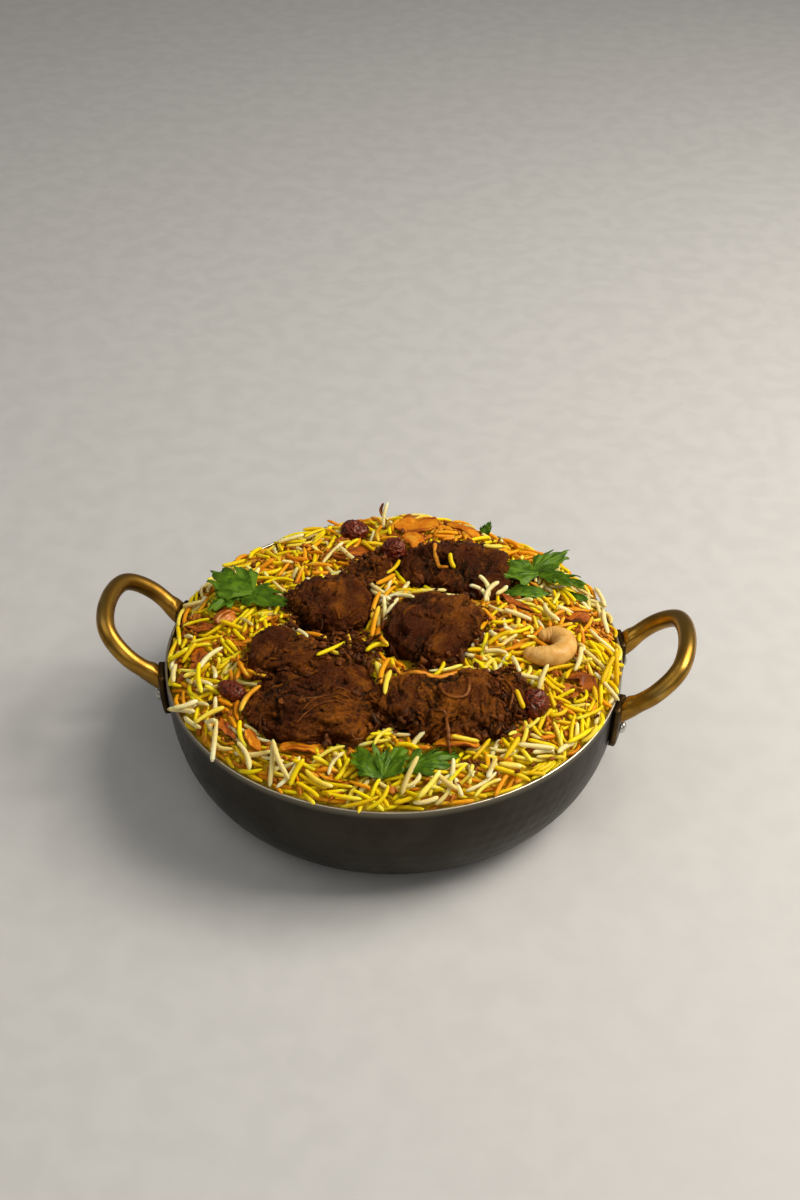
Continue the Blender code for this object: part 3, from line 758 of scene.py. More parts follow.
@dataclass(frozen=True)
class MeatFinish:
    """Browned braised meat: painted shade in its pits, golden brown along its fibres, glossy with fat, with
    painted highlights on raised specks.
    """

    name: str = "browned_meat"
    # First colour: painted shade in the pits; ridge colour: painted highlight on raised specks and glints.
    pit_shade: Colour = tint(18, 5, 2)
    red: Colour = tint(64, 17, 1)
    golden: Colour = tint(124, 66, 6)
    ridge: Colour = tint(176, 98, 18)
    sheen: Colour = (1.0, 0.5, 0.2, 1.0)

    # Scale, distortion, start and end of the patches, the specks and the glints
    CLOUDS = ((170.0, 1.0, 0.35, 0.7), (1500.0, 0.5, 0.42, 0.7), (3000.0, 0.2, 0.5, 0.68))

    def material(self) -> Material:
        """The meat's material; the mesh carries "ridge", "warmth", "across" and "run"."""
        sheet = MaterialSheet(self.name, {"Specular IOR Level": 0.5, "Specular Tint": self.sheen})
        threads = sheet.group(Effect.FIBRES, {
            "Across": sheet.point_value("across"), "Along": sheet.point_value("run"), "Scale": 1.7, "Wave": 1.6,
        }).outputs["Mask"]
        clouds = [sheet.group(Effect.MOTTLE, {"Scale": scale, "Distortion": wave, "Start": low, "End": high})
                  for scale, wave, low, high in self.CLOUDS]
        patches, specks, glints = (cloud.outputs["Mask"] for cloud in clouds)
        warmth = sheet.point_value("warmth")
        gold_share = sheet.math("MULTIPLY", sheet.math("ADD", patches, threads), warmth)
        colour = sheet.mix(sheet.span(gold_share, 0.15, 1.3), self.red, self.golden)
        ridge = sheet.point_value("ridge")
        # Painted shade: darkest where the relief value is low, in the pits and creases.
        colour = sheet.mix(sheet.span(ridge, 0.64, 0.3), colour, self.pit_shade)
        # Painted highlight: the ridge colour on raised specks and glints.
        grain = sheet.math("MAXIMUM", specks, glints)
        lit = sheet.math("MULTIPLY", sheet.span(ridge, 0.45, 0.95), sheet.math("MULTIPLY", grain, warmth))
        colour = sheet.mix(lit, colour, self.ridge)
        relief = sheet.math("ADD", sheet.math("MULTIPLY", threads, 0.5), sheet.math("MULTIPLY", specks, 0.4))
        relief = sheet.math("ADD", relief, sheet.math("MULTIPLY", glints, 0.35))
        roughness = sheet.span(grain, 0.0, 1.0, 0.52, 0.13)
        return sheet.finished(colour, roughness, relief, 1.0, 0.6)


@dataclass(frozen=True)
class LeafFinish:
    """Fresh coriander: green blade, paler veins fanning from the stalk."""

    name: str
    deep: Colour
    light: Colour
    vein: Colour

    def material(self) -> Material:
        """The leaf's material; the mesh carries "fan" across the blade and "reach" along it."""
        sheet = MaterialSheet(
            self.name,
            {"Subsurface Weight": 0.08, "Subsurface Radius": (0.4, 1.0, 0.2), "Subsurface Scale": 0.6 * MM,
             "Specular IOR Level": 0.4, "Specular Tint": (0.75, 1.0, 0.4, 1.0)},
        )
        shades = {"Scale": 260.0, "Distortion": 0.6, "First": self.deep, "Second": self.light}
        cloud = sheet.group(Effect.MOTTLE, shades)
        fan = sheet.point_value("fan")
        spacing = sheet.math("PINGPONG", fan, 0.5)
        fineness = sheet.span(sheet.point_value("reach"), 0.0, 1.0, 0.16, 0.05)
        vein = sheet.math("SUBTRACT", 1.0, sheet.math("DIVIDE", spacing, fineness))
        vein = sheet.span(vein, 0.0, 1.0, 0.0, 0.22)
        colour = sheet.mix(vein, cloud.outputs["Color"], self.vein)
        roughness = sheet.span(cloud.outputs["Mask"], 0.0, 1.0, 0.34, 0.6)
        relief = sheet.math("SUBTRACT", 1.0, vein)
        return sheet.finished(colour, roughness, relief, 0.5, 0.2)


# Pan and handles

@dataclass(frozen=True)
class PanShape:
    """Form of the pan: straight at the rim, rounding into a flat base."""

    rim_radius: float = (PAN_HIGH[0] - PAN_LOW[0]) / 2 / MM
    height: float = PAN_HIGH[2] / MM
    base_radius: float = 65.0
    wall: float = 1.2
    roundness: float = 2.7

    def wall_profile(self, inset: float, steps: int) -> Array:
        """Radius and height down the wall, from the rim to the edge of the base.

        Args:
            inset: How far inside the outer face the profile runs.
            steps: Steps down the wall.

        Returns:
            Radius and height of each point.
        """
        angle = np.linspace(0.0, math.pi / 2, steps + 1)
        power = 2 / self.roundness
        flare = self.rim_radius - inset - self.base_radius
        radius = self.base_radius + flare * np.cos(angle).clip(0) ** power
        height = self.height - (self.height - inset) * np.sin(angle).clip(0) ** power
        return np.stack([radius, height], axis=1)

    def wall_radius(self, depth: float) -> float:
        """Outer radius at a depth below the rim."""
        sine = (depth / self.height) ** (self.roundness / 2)
        cosine = math.sqrt(1.0 - sine * sine)
        return self.base_radius + (self.rim_radius - self.base_radius) * cosine ** (2 / self.roundness)


@dataclass(frozen=True)
class Pan:
    """Hammered steel pan body: rows of shallow dimples outside, a thin rim given a painted highlight that is
    partly real polishing, and steel darkened as a painted reflection of dim surroundings.
    """

    shape: PanShape
    segments: int = 384
    rows: int = 64
    dimples_round: int = 96
    dimple_rows: int = 8
    dimple_depth: float = 0.24
    # Steel colours darkened as a painted reflection of dim surroundings; the brightest colour is the rim's
    # painted highlight.
    steel: MetalFinish = MetalFinish(
        "steel_painted_dark_reflection", tint(58, 54, 46), tint(46, 42, 35), tint(196, 186, 162), 0.5, 0.4, 0.52
    )

    def _dimples(self, vertices: Array) -> Array:
        """How far each point of the outer wall is hammered in, from 0 to 1.

        Args:
            vertices: Points of the outer wall, row by row from the rim.

        Returns:
            One share for each point.
        """
        rim, height = self.shape.rim_radius, self.shape.height
        turn = np.arctan2(vertices[:, 1], vertices[:, 0]) / math.tau * self.dimples_round
        depth = (height - vertices[:, 2] + (rim - np.hypot(vertices[:, 0], vertices[:, 1])) * 0.5) / height
        level = depth * self.dimple_rows
        row = np.floor(level)
        across = turn + 0.5 * (row % 2) + 0.12 * np.sin(row * 7.0 + turn * 0.7)
        cup = (np.sin(math.pi * across) ** 2) * np.sin(math.pi * (level - row)) ** 0.8
        strength = 0.75 + 0.5 * noise_at(vertices, 0.05, 4.0)
        clear = smoothstep(0.5, 1.4, level) * smoothstep(self.dimple_rows * 1.02, self.dimple_rows * 0.8, level)
        return cup * strength * clear

    def build(self) -> Piece:
        """Build the pan body.

        Returns:
            The piece that stands for the frame's pan.
        """
        wall = self.shape.wall
        outer = self.shape.wall_profile(0.0, self.rows)
        inner = self.shape.wall_profile(wall, 20)[::-1]
        lip = wall / 2
        arc = np.linspace(0.0, math.pi, 7)[1:-1]
        crown = np.stack([self.shape.rim_radius - lip + lip * -np.cos(arc),
                          self.shape.height - 0.35 + 0.35 * np.sin(arc)], axis=1)
        inner[-1, 1] -= 0.35
        outer[0, 1] -= 0.35
        profile = np.vstack([[0.2, wall], inner, crown, outer, [0.2, 0.0]])
        shell = turned(profile, self.segments)
        vertices = shell.vertices
        start = (1 + len(inner) + len(crown)) * self.segments
        end = start + (self.rows + 1) * self.segments
        outside = vertices[start:end]
        dent = self._dimples(outside)[:, None] * self.dimple_depth
        vertices[start:end] = outside - unit(outside * [1.0, 1.0, 0.0]) * dent
        shell.close_ends((0.0, 0.0, wall), (0.0, 0.0, 0.0), self.segments)
        # Painted highlight: the rim's crown takes the brightest steel colour, a thin bright line that is partly
        # real polishing.
        rim = self.shape.height
        shell.values["polish"] = smoothstep(rim - 0.5, rim - 0.1, shell.vertices[:, 2])
        mesh = shell.mesh("pan")
        return add_piece("pan", mesh, self.steel.material(), "pan_steel", ("pan_body",))


@dataclass(frozen=True)
class Handle:
    """Brass rod bent into a tilted loop, with a taller flared end against each foot."""

    shape: PanShape
    side: str
    rod_radius: float = 3.9
    loop_tilt: float = math.radians(42.5)
    loop_start: float = 100.0
    loop_depth: float = 6.0
    loop_half: tuple = ((0.0, 22.3), (17.6, 24.0), (31.0, 17.0), (35.2, 0.0))
    flare_length: float = 10.0
    flare_half_height: float = 5.3
    flare_half_width: float = 4.3
    foot_top_depth: float = 0.8
    foot_height: float = 22.0
    foot_half_width: float = 7.0
    foot_thickness: float = 3.0
    foot_gap: float = 0.3
    rivet_radius: float = 2.8
    rivet_height: float = 2.0
    rivet_depth: float = 14.8

    @property
    def foot_angle(self) -> float:
        """Angle about the pan's axis between the handle's middle and each foot."""
        return math.atan2(self.loop_half[0][1], self.loop_start)

    def _turned(self, points: Array) -> Array:
        """Points moved to this handle's side of the pan."""
        sign = 1.0 if self.side == "right" else -1.0
        return points * [sign, sign, 1.0]

    def _loop(self, steps: int = 14, sides: int = 28) -> Shell:
        """The rod.

        Args:
            steps: Steps between the loop's knots.
            sides: Points round the rod.

        Returns:
            Its shell.
        """
        knots = list(self.loop_half) + [(u, -v) for u, v in reversed(self.loop_half[:-1])]
        path = smooth_path([(u, v, 0.0) for u, v in knots], steps)
        outward = np.array([math.cos(self.loop_tilt), 0.0, math.sin(self.loop_tilt)])
        normal = np.array([-math.sin(self.loop_tilt), 0.0, math.cos(self.loop_tilt)])
        sideways = np.array([0.0, 1.0, 0.0])
        start = np.array([self.loop_start, 0.0, self.shape.height - self.loop_depth])
        along = np.gradient(path, axis=0)
        along = unit(along)
        across = -along[:, 1:2] * outward + along[:, 0:1] * sideways
        centres = start + path[:, 0:1] * outward + path[:, 1:2] * sideways
        tangent = np.stack([-centres[:, 1], centres[:, 0], np.zeros(len(path))], axis=1)
        tangent = unit(tangent)
        tangent *= np.where(along[:, 0:1] < 0, -1.0, 1.0)
        free = smoothstep(0.0, self.flare_length, path[:, 0:1])
        side_axis = tangent + (across - tangent) * free
        side_axis = unit(side_axis)
        up_axis = np.array([0.0, 0.0, 1.0]) + (normal - [0.0, 0.0, 1.0]) * free
        up_axis = unit(up_axis)
        half_width = self.flare_half_width + (self.rod_radius - self.flare_half_width) * free
        half_height = self.flare_half_height + (self.rod_radius - self.flare_half_height) * free
        turns = np.arange(sides) * math.tau / sides
        squareness = 2.0 + 1.2 * (1.0 - free)
        cosine = squared(np.cos(turns), 2.0 / squareness)
        sine = squared(np.sin(turns), 2.0 / squareness)
        rings = centres[:, None] + (half_width * cosine)[..., None] * side_axis[:, None]
        rings = rings + (half_height * sine)[..., None] * up_axis[:, None]
        vertices = self._turned(rings.reshape(-1, 3))
        # Painted highlight along the rod's outer edge in the loop's plane, in noisy patches that are partly
        # real wear.
        wear_and_highlight = 0.5 + 0.5 * noise_at(vertices, 0.11, 2.0)
        side_face = np.tile(np.maximum(np.cos(turns), 0.0) ** 4, len(path))
        values = {"polish": 0.35 * smoothstep(0.5, 0.8, wear_and_highlight) * side_face}
        return Shell(vertices, grid_quads(len(path), sides, True), values=values)

    def _foot(self, direction: int, rows: int = 28, columns: int = 14) -> Shell:
        """One foot plate, curved with the wall.

        Args:
            direction: 1 for the foot that is first round the pan, -1 for the other.
            rows: Points down the plate.
            columns: Points across each face.

        Returns:
            Its shell.
        """
        power = 5.0
        rings = []
        for share in np.linspace(-1.0, 1.0, rows + 1)[1:-1]:
            depth = self.foot_top_depth + self.foot_height * (share + 1.0) / 2.0
            half_width = self.foot_half_width * (1.0 - abs(share) ** power) ** (1.0 / power)
            inner = self.shape.wall_radius(depth) + self.foot_gap
            edge = 0.6 * smoothstep(0.82, 1.0, np.array(abs(share)))
            offsets = half_width * np.linspace(-1.0, 1.0, columns)
            rounding = 0.6 * smoothstep(0.75, 1.0, np.abs(np.linspace(-1.0, 1.0, columns)))
            outer = inner + self.foot_thickness - np.maximum(rounding, edge)
            for radius, order in ((np.full(columns, inner), 1), (outer, -1)):
                angle = direction * self.foot_angle + offsets[::order] / self.shape.rim_radius
                rings.append(np.stack([radius[::order] * np.cos(angle), radius[::order] * np.sin(angle),
                                       np.full(columns, self.shape.height - depth)], axis=1))
        vertices = self._turned(np.vstack(rings))
        count = 2 * columns
        quads = [grid_quads(rows - 1, count, True)]
        for base in (0, (rows - 2) * count):
            for column in range(columns - 1):
                pair = (base + column, base + column + 1, base + count - 2 - column, base + count - 1 - column)
                quads.append(np.array([pair if base else pair[::-1]]))
        return Shell(vertices, np.vstack(quads), values={"polish": np.zeros(len(vertices))})

    def _rivet(self, direction: int, sides: int = 28) -> Shell:
        """One domed rivet head on the lower half of a foot."""
        arc = np.linspace(0.0, math.pi / 2, 9)[:-1]
        profile = np.stack([self.rivet_radius * np.cos(arc) ** 0.7, self.rivet_height * np.sin(arc)], axis=1)
        dome = turned(profile, sides)
        slope = self.shape.wall_radius(self.rivet_depth - 1.0) - self.shape.wall_radius(self.rivet_depth + 1.0)
        angle = direction * self.foot_angle
        radius = self.shape.wall_radius(self.rivet_depth) + 2 * self.foot_gap + self.foot_thickness
        place = Matrix.Translation((radius * math.cos(angle), radius * math.sin(angle),
                                    self.shape.height - self.rivet_depth))
        place = place @ Matrix.Rotation(angle, 4, "Z")
        place = place @ Matrix.Rotation(math.pi / 2 + math.atan2(slope, 2.0), 4, "Y")
        tip = len(dome.vertices)
        vertices = np.vstack([dome.vertices, [0.0, 0.0, self.rivet_height]])
        vertices = np.array([place @ Vector(point) for point in vertices])
        top = fan(tip, tip - sides, sides)
        return Shell(self._turned(vertices), dome.quads[:, ::-1], top, {"polish": np.full(tip + 1, 0.2)})

    def build(self, brass: Material, foot: Material, steel: Material) -> list:
        """Build the loop, its feet and its rivets.

        Args:
            brass: Finish of the loop, with a painted highlight on its outer edge.
            foot: Finish of the feet, darkened as painted shade.
            steel: Finish of the rivets.

        Returns:
            The pieces.
        """
        rod = self._loop().mesh("loop")
        close_tips(rod)
        loop = add_piece(f"loop_{self.side}", rod, brass, "brass", (f"handle_{self.side}",))
        feet = self._foot(1).joined(self._foot(-1)).mesh("feet")
        pieces = [loop, add_piece(f"feet_{self.side}", feet, foot, "brass")]
        ends = ("back", "front") if self.side == "right" else ("front", "back")
        for direction, end in zip((1, -1), ends):
            node = f"rivet_{self.side}_{end}"
            mesh = self._rivet(direction).mesh("rivet")
            pieces.append(add_piece(f"{node}_head", mesh, steel, "rivet_steel", (node,)))
        return pieces


# Rice surface and what has settled in the pan

@dataclass(frozen=True)
class RiceDome:
    """Form of the rice's top: a low dome with mounds, level with the rim at its edge."""

    shape: PanShape
    edge_depth: float = 1.0
    shoulder: float = 5.0
    dome: float = 7.0
    roughness: float = 1.9
    mounds: tuple = (
        # x, y, spread, height
        (4.0, 84.0, 24.0, 4.0),
        (88.0, -6.0, 12.0, 3.0),
        (66.0, 62.0, 16.0, 2.5),
        (-83.0, 32.0, 12.0, 2.0),
        (-60.0, -66.0, 14.0, 1.5),
    )

    def height(self, x: float, y: float) -> float:
        """Height of the rice above the base at a place."""
        share = min(math.hypot(x, y) / (self.shape.rim_radius - self.shape.wall), 1.0)
        height = self.shape.height - self.edge_depth
        height += self.shoulder * (1.0 - share**8) ** 0.8 + self.dome * (1.0 - share**2)
        for mound_x, mound_y, spread, rise in self.mounds:
            distance = math.hypot(x - mound_x, y - mound_y) / spread
            height += rise * math.exp(-distance * distance)
        grain = noise.noise(Vector((x, y, 0.0)) * 0.11) + 0.6 * noise.noise(Vector((x, y, 9.0)) * 0.27)
        return height + self.roughness * grain * min(1.0, (1.0 - share) * 12.0)


class Terrain:
    """Heights of what lies in the pan, on a square grid, as grains are laid one by one."""

    CELL = 0.5
    REACH = 106.0
    EMPTY = 30.0
    OPEN = 1e3
    LOWEST_TOP = 56.0

    def __init__(self, dome: RiceDome, core_depth: float) -> None:
        """Start with the core inside the wall.

        Args:
            dome: Form of the rice's top.
            core_depth: How far the core lies below it.
        """
        axis = np.arange(-self.REACH, self.REACH + self.CELL / 2, self.CELL)
        self.count = len(axis)
        coarse = axis[::4]
        top = np.array([[dome.height(x, y) for x in coarse] for y in coarse])
        rows = np.array([np.interp(axis, coarse, row) for row in top])
        self.target = np.array([np.interp(axis, coarse, column) for column in rows.T]).T
        self.x, self.y = np.meshgrid(axis, axis)
        radius = np.hypot(self.x, self.y)
        shape = dome.shape
        inside = radius < shape.rim_radius - shape.wall
        wall = (radius >= shape.rim_radius - shape.wall) & (radius <= shape.rim_radius)
        self.heights = np.where(inside, self.target - core_depth, self.EMPTY)
        self.rim = shape.height
        self.heights[wall] = self.rim
        self.target[~inside] = self.EMPTY
        self.ceiling = np.full_like(self.heights, self.OPEN)

    def cells(self, x: Array, y: Array) -> tuple[Array, Array]:
        """Row and column of the cell at each place."""
        row = np.rint((y + self.REACH) / self.CELL).astype(int).clip(0, self.count - 1)
        column = np.rint((x + self.REACH) / self.CELL).astype(int).clip(0, self.count - 1)
        return row, column

    def height(self, x: float, y: float) -> float:
        """Height of what lies at a place."""
        row, column = self.cells(np.array(x), np.array(y))
        return float(self.heights[row, column])

    def clear_ceiling(self) -> None:
        """Forget what hangs over the grains."""
        self.ceiling[:] = self.OPEN

    def add_pieces(self, pieces: list, hanging: bool) -> None:
        """Take pieces into account.

        Args:
            pieces: The pieces.
            hanging: Whether grains go under them; otherwise grains lie on them.
        """
        tree = surface_of(pieces)
        for piece in pieces:
            corners = np.array([Vector(corner) / MM for corner in piece.bound_box])
            low_row, low_column = self.cells(corners[:, 0].min(), corners[:, 1].min())
            high_row, high_column = self.cells(corners[:, 0].max(), corners[:, 1].max())
            for row in range(low_row, high_row + 1):
                for column in range(low_column, high_column + 1):
                    x, y = self.x[row, column], self.y[row, column]
                    start, way = ((x, y, 0.0), UP) if hanging else ((x, y, 200.0), -UP)
                    hit = tree.ray_cast(start, way)[0]
                    if hit is None:
                        continue
                    if hanging:
                        self.ceiling[row, column] = min(self.ceiling[row, column], hit.z)
                    else:
                        self.heights[row, column] = max(self.heights[row, column], hit.z)

    def rest(self, x: float, y: float, heading: float, half_length: float, radius: float, bow: float,
             points: int) -> Array:
        """Middle line of a rod that comes to rest on what lies below it.

        Args:
            x, y: Place of its middle.
            heading: Direction seen from above, in radians.
            half_length: Half of its length.
            radius: Half of its thickness.
            bow: How far its middle is bowed sideways.
            points: Points along it.

        Returns:
            The line, one point to a row.
        """
        share = np.linspace(-1.0, 1.0, points)
        run = share * half_length
        side = bow * (1.0 - share * share)
        cosine, sine = math.cos(heading), math.sin(heading)
        px = x + run * cosine - side * sine
        py = y + run * sine + side * cosine
        width = np.array([-0.7, 0.0, 0.7])[:, None] * radius
        ground = self.heights[self.cells(px - width * sine, py + width * cosine)].max(axis=0)
        middle = points // 2
        left, right = np.arange(middle), np.arange(middle + 1, points)
        left_run, right_run = run[left][:, None], run[right][None]
        spans = (ground[left][:, None] * right_run - ground[right][None] * left_run) / (right_run - left_run)
        best = np.unravel_index(np.argmax(spans), spans.shape)
        low, high = left[best[0]], right[best[1]]
        slope = (ground[high] - ground[low]) / (run[high] - run[low])
        level = max(spans[best], ground[middle])
        slope = float(np.clip(slope, -0.9, 0.9))
        line = level + slope * run
        gaps = line - ground
        droop = min(gaps[0], gaps[-1], 2.0) * 0.45
        line = line - max(droop, 0.0) * share * share + radius * 0.85
        return np.stack([px, py, line], axis=1)

    def stamp(self, line: Array, radius: float, heading: float) -> None:
        """Raise the heights to the top of a rod.

        Args:
            line: Its middle line.
            radius: Half of its thickness.
            heading: Direction seen from above, in radians.
        """
        fine = np.linspace(0, len(line) - 1, len(line) * 3)
        spots = np.stack([np.interp(fine, np.arange(len(line)), line[:, i]) for i in range(3)], axis=1)
        offsets = np.array([-0.8, -0.4, 0.0, 0.4, 0.8])
        x = spots[:, 0] - offsets[:, None] * radius * math.sin(heading)
        y = spots[:, 1] + offsets[:, None] * radius * math.cos(heading)
        top = spots[:, 2] + radius * 0.85 * np.sqrt(1.0 - offsets * offsets)[:, None]
        np.maximum.at(self.heights, self.cells(x, y), top)

    def fits(self, line: Array, radius: float, proud: float) -> bool:
        """Whether a rod stays under the leaves and near the rice's top.

        Args:
            line: Its middle line.
            radius: Half of its thickness.
            proud: How far it may stand above the rice's top.

        Returns:
            True if it does.
        """
        cells = self.cells(line[:, 0], line[:, 1])
        top = line[:, 2] + radius
        over_rim = np.maximum(self.target[cells], self.LOWEST_TOP)
        return bool(np.all(top < self.ceiling[cells] + 0.5) and np.all(top < over_rim + proud))


# Meat

@dataclass(frozen=True)
class MeatChunk:
    """One browned chunk of meat: how its fibres run, how rough it is and where it is golden."""

    node: str
    heading: float
    swirl: float = 0.0  # radius that the fibres curve with; 0 is straight
    warmth: float = 0.35
    golden: tuple = ()  # x, y, spread and strength of each warmer or darker patch
    crags: float = 2.4
    sway: float = 4.5
    folds: float = 1.5
    threads: float = 0.7

    def _fibre_places(self, places: Array) -> Array:
        """Places along, across and up the fibres."""
        middle = places.mean(axis=0)
        offset = places - middle
        along, across = along_and_across(offset, self.heading)
        if self.swirl:
            radius = np.hypot(along, across - self.swirl)
            along = np.arctan2(along, np.abs(across - self.swirl)) * abs(self.swirl)
            across = radius
        return np.stack([along, across, offset[:, 2]], axis=1)

    def _crags(self, places: Array) -> tuple[Array, Array]:
        """Torn lumps with creases between them, and long folds along the fibres, each about -1 to 1.

        Args:
            places: Points of the chunk's even surface.

        Returns:
            Height of the lumps and height of the folds at each point.
        """
        warp = noise_vectors(places, 0.11, 21.0)
        lump = 1.0 - 1.9 * cell_distance(places + 4.5 * warp, 0.088)
        torn = 1.0 - 2.6 * np.abs(noise_at(places + 3.0 * warp, 0.13, 3.0))
        swell = noise_at(places, 0.06, 8.0)
        fibre = self._fibre_places(places) + 3.0 * warp
        fold = 1.0 - 2.4 * np.abs(noise_at(fibre, (0.05, 0.2, 0.2), 5.0))
        crag = 0.85 * lump + 0.35 * torn + 1.5 * swell
        return (crag - crag.mean()).clip(-1.6, 1.3), (fold - fold.mean()).clip(-1.2, 1.0)

    def build(self, material: Material) -> Piece:
        """Build the chunk round its frame node.

        Args:
            material: The meat's finish.

        Returns:
            The piece.
        """
        mesh = refined(self.node, 1.1, 8)
        places, outward = points_of(mesh)
        crag, fold = self._crags(places)
        rise = self.crags * crag + self.folds * fold
        rise = np.where(rise > 0.0, rise * (1.0 - 0.6 * outward[:, 2].clip(0, 1)), 1.15 * rise)
        rough = places + outward * rise[:, None]
        rough[:, :2] += self.sway * noise_vectors(places, 0.065, 31.0, 2)
        rough[:, 2] = np.maximum(rough[:, 2], places[:, 2].min())
        move_points(mesh, rough)
        places, outward = points_of(mesh)
        fibre = self._fibre_places(places)
        bent = fibre + 1.6 * noise_vectors(places, 0.16, 11.0)
        strand = 1.0 - 2.2 * np.abs(noise_at(bent, (0.09, 0.42, 0.42), 1.0))
        thread = 1.0 - 2.2 * np.abs(noise_at(bent, (0.16, 0.95, 0.95), 5.0))
        crumb = noise_at(places, 0.8, 2.0) + 0.6 * noise_at(places, 1.7, 4.0)
        relief = self.threads * (0.8 * strand + 0.45 * thread) + 0.6 * crumb
        move_points(mesh, places + outward * relief[:, None])
        warmth = np.full(len(places), self.warmth) + 0.7 * noise_at(places, 0.12, 6.0)
        for x, y, spread, strength in self.golden:
            away = np.hypot(places[:, 0] - x, places[:, 1] - y) / spread
            warmth += strength * np.exp(-away * away)
        # The relief value; the meat's material paints shade where it is low and highlights where it is high.
        ridge = 0.49 + 0.24 * crag + 0.15 * fold + 0.24 * (0.55 * strand + 0.45 * thread) + 0.24 * crumb
        add_values(mesh, {
            "ridge": ridge.clip(0, 1), "warmth": warmth.clip(0, 1.2),
            "across": bent[:, 1] + 0.6 * bent[:, 2], "run": bent[:, 0] * 0.16,
        })
        return add_piece(f"{self.node}_browned", mesh, material, "meat", (self.node,))


@dataclass(frozen=True)
class MeatStrands:
    """Loose pulled fibres that cling to the chunks."""

    counts: tuple
    length: tuple = (3.0, 9.0)
    half_width: tuple = (0.35, 0.9)
    seed: int = 11

    def build(self, chunks: dict, specs: dict, material: Material) -> Piece:
        """Lay the fibres over the chunks.

        Args:
            chunks: Frame node to its browned piece.
            specs: Frame node to its MeatChunk.
            material: The strands' finish.

        Returns:
            The piece.
        """
        random = np.random.default_rng(self.seed)
        lines, widths = [], []
        steps = 11
        for node, count in self.counts:
            tree = surface_of([chunks[node]])
            places, outward = points_of(chunks[node].data)
            upper = np.flatnonzero(outward[:, 2] > 0.05)
            for start in random.choice(upper, count):
                heading = math.radians(specs[node].heading) + random.normal(0.0, 0.45)
                curl = random.normal(0.0, 0.12)
                step = random.uniform(*self.length) / (steps - 1)
                width = random.uniform(*self.half_width)
                point = Vector(places[start])
                line = []
                for i in range(steps):
                    found, normal = tree.find_nearest(point)[:2]
                    lift = 0.3 * width + (0.7 * random.random() if i in (0, steps - 1) else 0.0)
                    line.append(found + normal * lift)
                    way = Vector((math.cos(heading), math.sin(heading), 0.0))
                    way = (way - normal * way.dot(normal)).normalized()
                    point = found + way * step
                    heading += curl
                lines.append([tuple(spot) for spot in line])
                widths.append(width)
        lines = np.array(lines)
        widths = np.array(widths)
        share = np.linspace(0.0, 1.0, steps)
        taper = 0.45 + 0.55 * np.sin(math.pi * share)
        headings = np.arctan2(lines[:, -1, 1] - lines[:, 0, 1], lines[:, -1, 0] - lines[:, 0, 0])
        shell = sweep(lines, headings, widths[:, None] * taper, 0.6 * widths[:, None] * taper,
                      np.zeros((len(lines), steps)), 5)
        shade = repeated(random.random(len(lines)), shell)
        shell.values.update({"ridge": 0.45 + 0.5 * shade, "warmth": 0.3 + 0.6 * shade,
                             "across": shell.vertices[:, 0], "run": shell.vertices[:, 1]})
        return add_piece("meat_strands", shell.mesh("strands"), material, "meat")


# Raisins, nuts, strips and leaves

@dataclass(frozen=True)
class Raisin:
    """Raisin with deep wrinkles along it."""

    node: str
    wrinkle: float = 0.55

    def build(self, material: Material) -> Piece:
        """Build the raisin round its frame node."""
        mesh = refined(self.node, 0.62, 6)
        places, outward = points_of(mesh)
        bent = places + 0.9 * noise_vectors(places, 0.35, 5.0)
        fold = 1.0 - 3.0 * np.abs(noise_at(bent, 0.42, 1.0))
        small = 1.0 - 3.0 * np.abs(noise_at(bent, 0.85, 7.0))
        relief = self.wrinkle * (0.7 * fold + 0.35 * small) - 0.1
        move_points(mesh, places + outward * relief[:, None])
        # ridge follows the wrinkles; the skin's material paints shade in the folds and highlight on their
        # crests.
        add_values(mesh, {"ridge": (0.5 + 0.3 * fold + 0.2 * small).clip(0, 1)})
        return add_piece(f"{self.node}_wrinkled", mesh, material, "raisin", (self.node,))


@dataclass(frozen=True)
class StainedNut:
    """Half nut stained by the spices, with pale streaks along it."""

    node: str = "stained_nut"
    heading: float = 55.0

    def build(self, material: Material) -> Piece:
        """Build the nut round its frame node."""
        mesh = refined(self.node, 0.6, 8)
        places, outward = points_of(mesh)
        along, across = along_and_across(places, self.heading)
        streak = noise_at(np.stack([along * 0.12, across * 0.9, places[:, 2] * 0.5], axis=1), 1.0, 3.0)
        dent = noise_at(places, 0.4, 1.0)
        move_points(mesh, places + outward * (0.15 * streak + 0.35 * dent)[:, None])
        add_values(mesh, {"ridge": (0.5 + 0.9 * streak).clip(0, 1)})
        return add_piece("nut_half", mesh, material, "stained_nut", (self.node,))


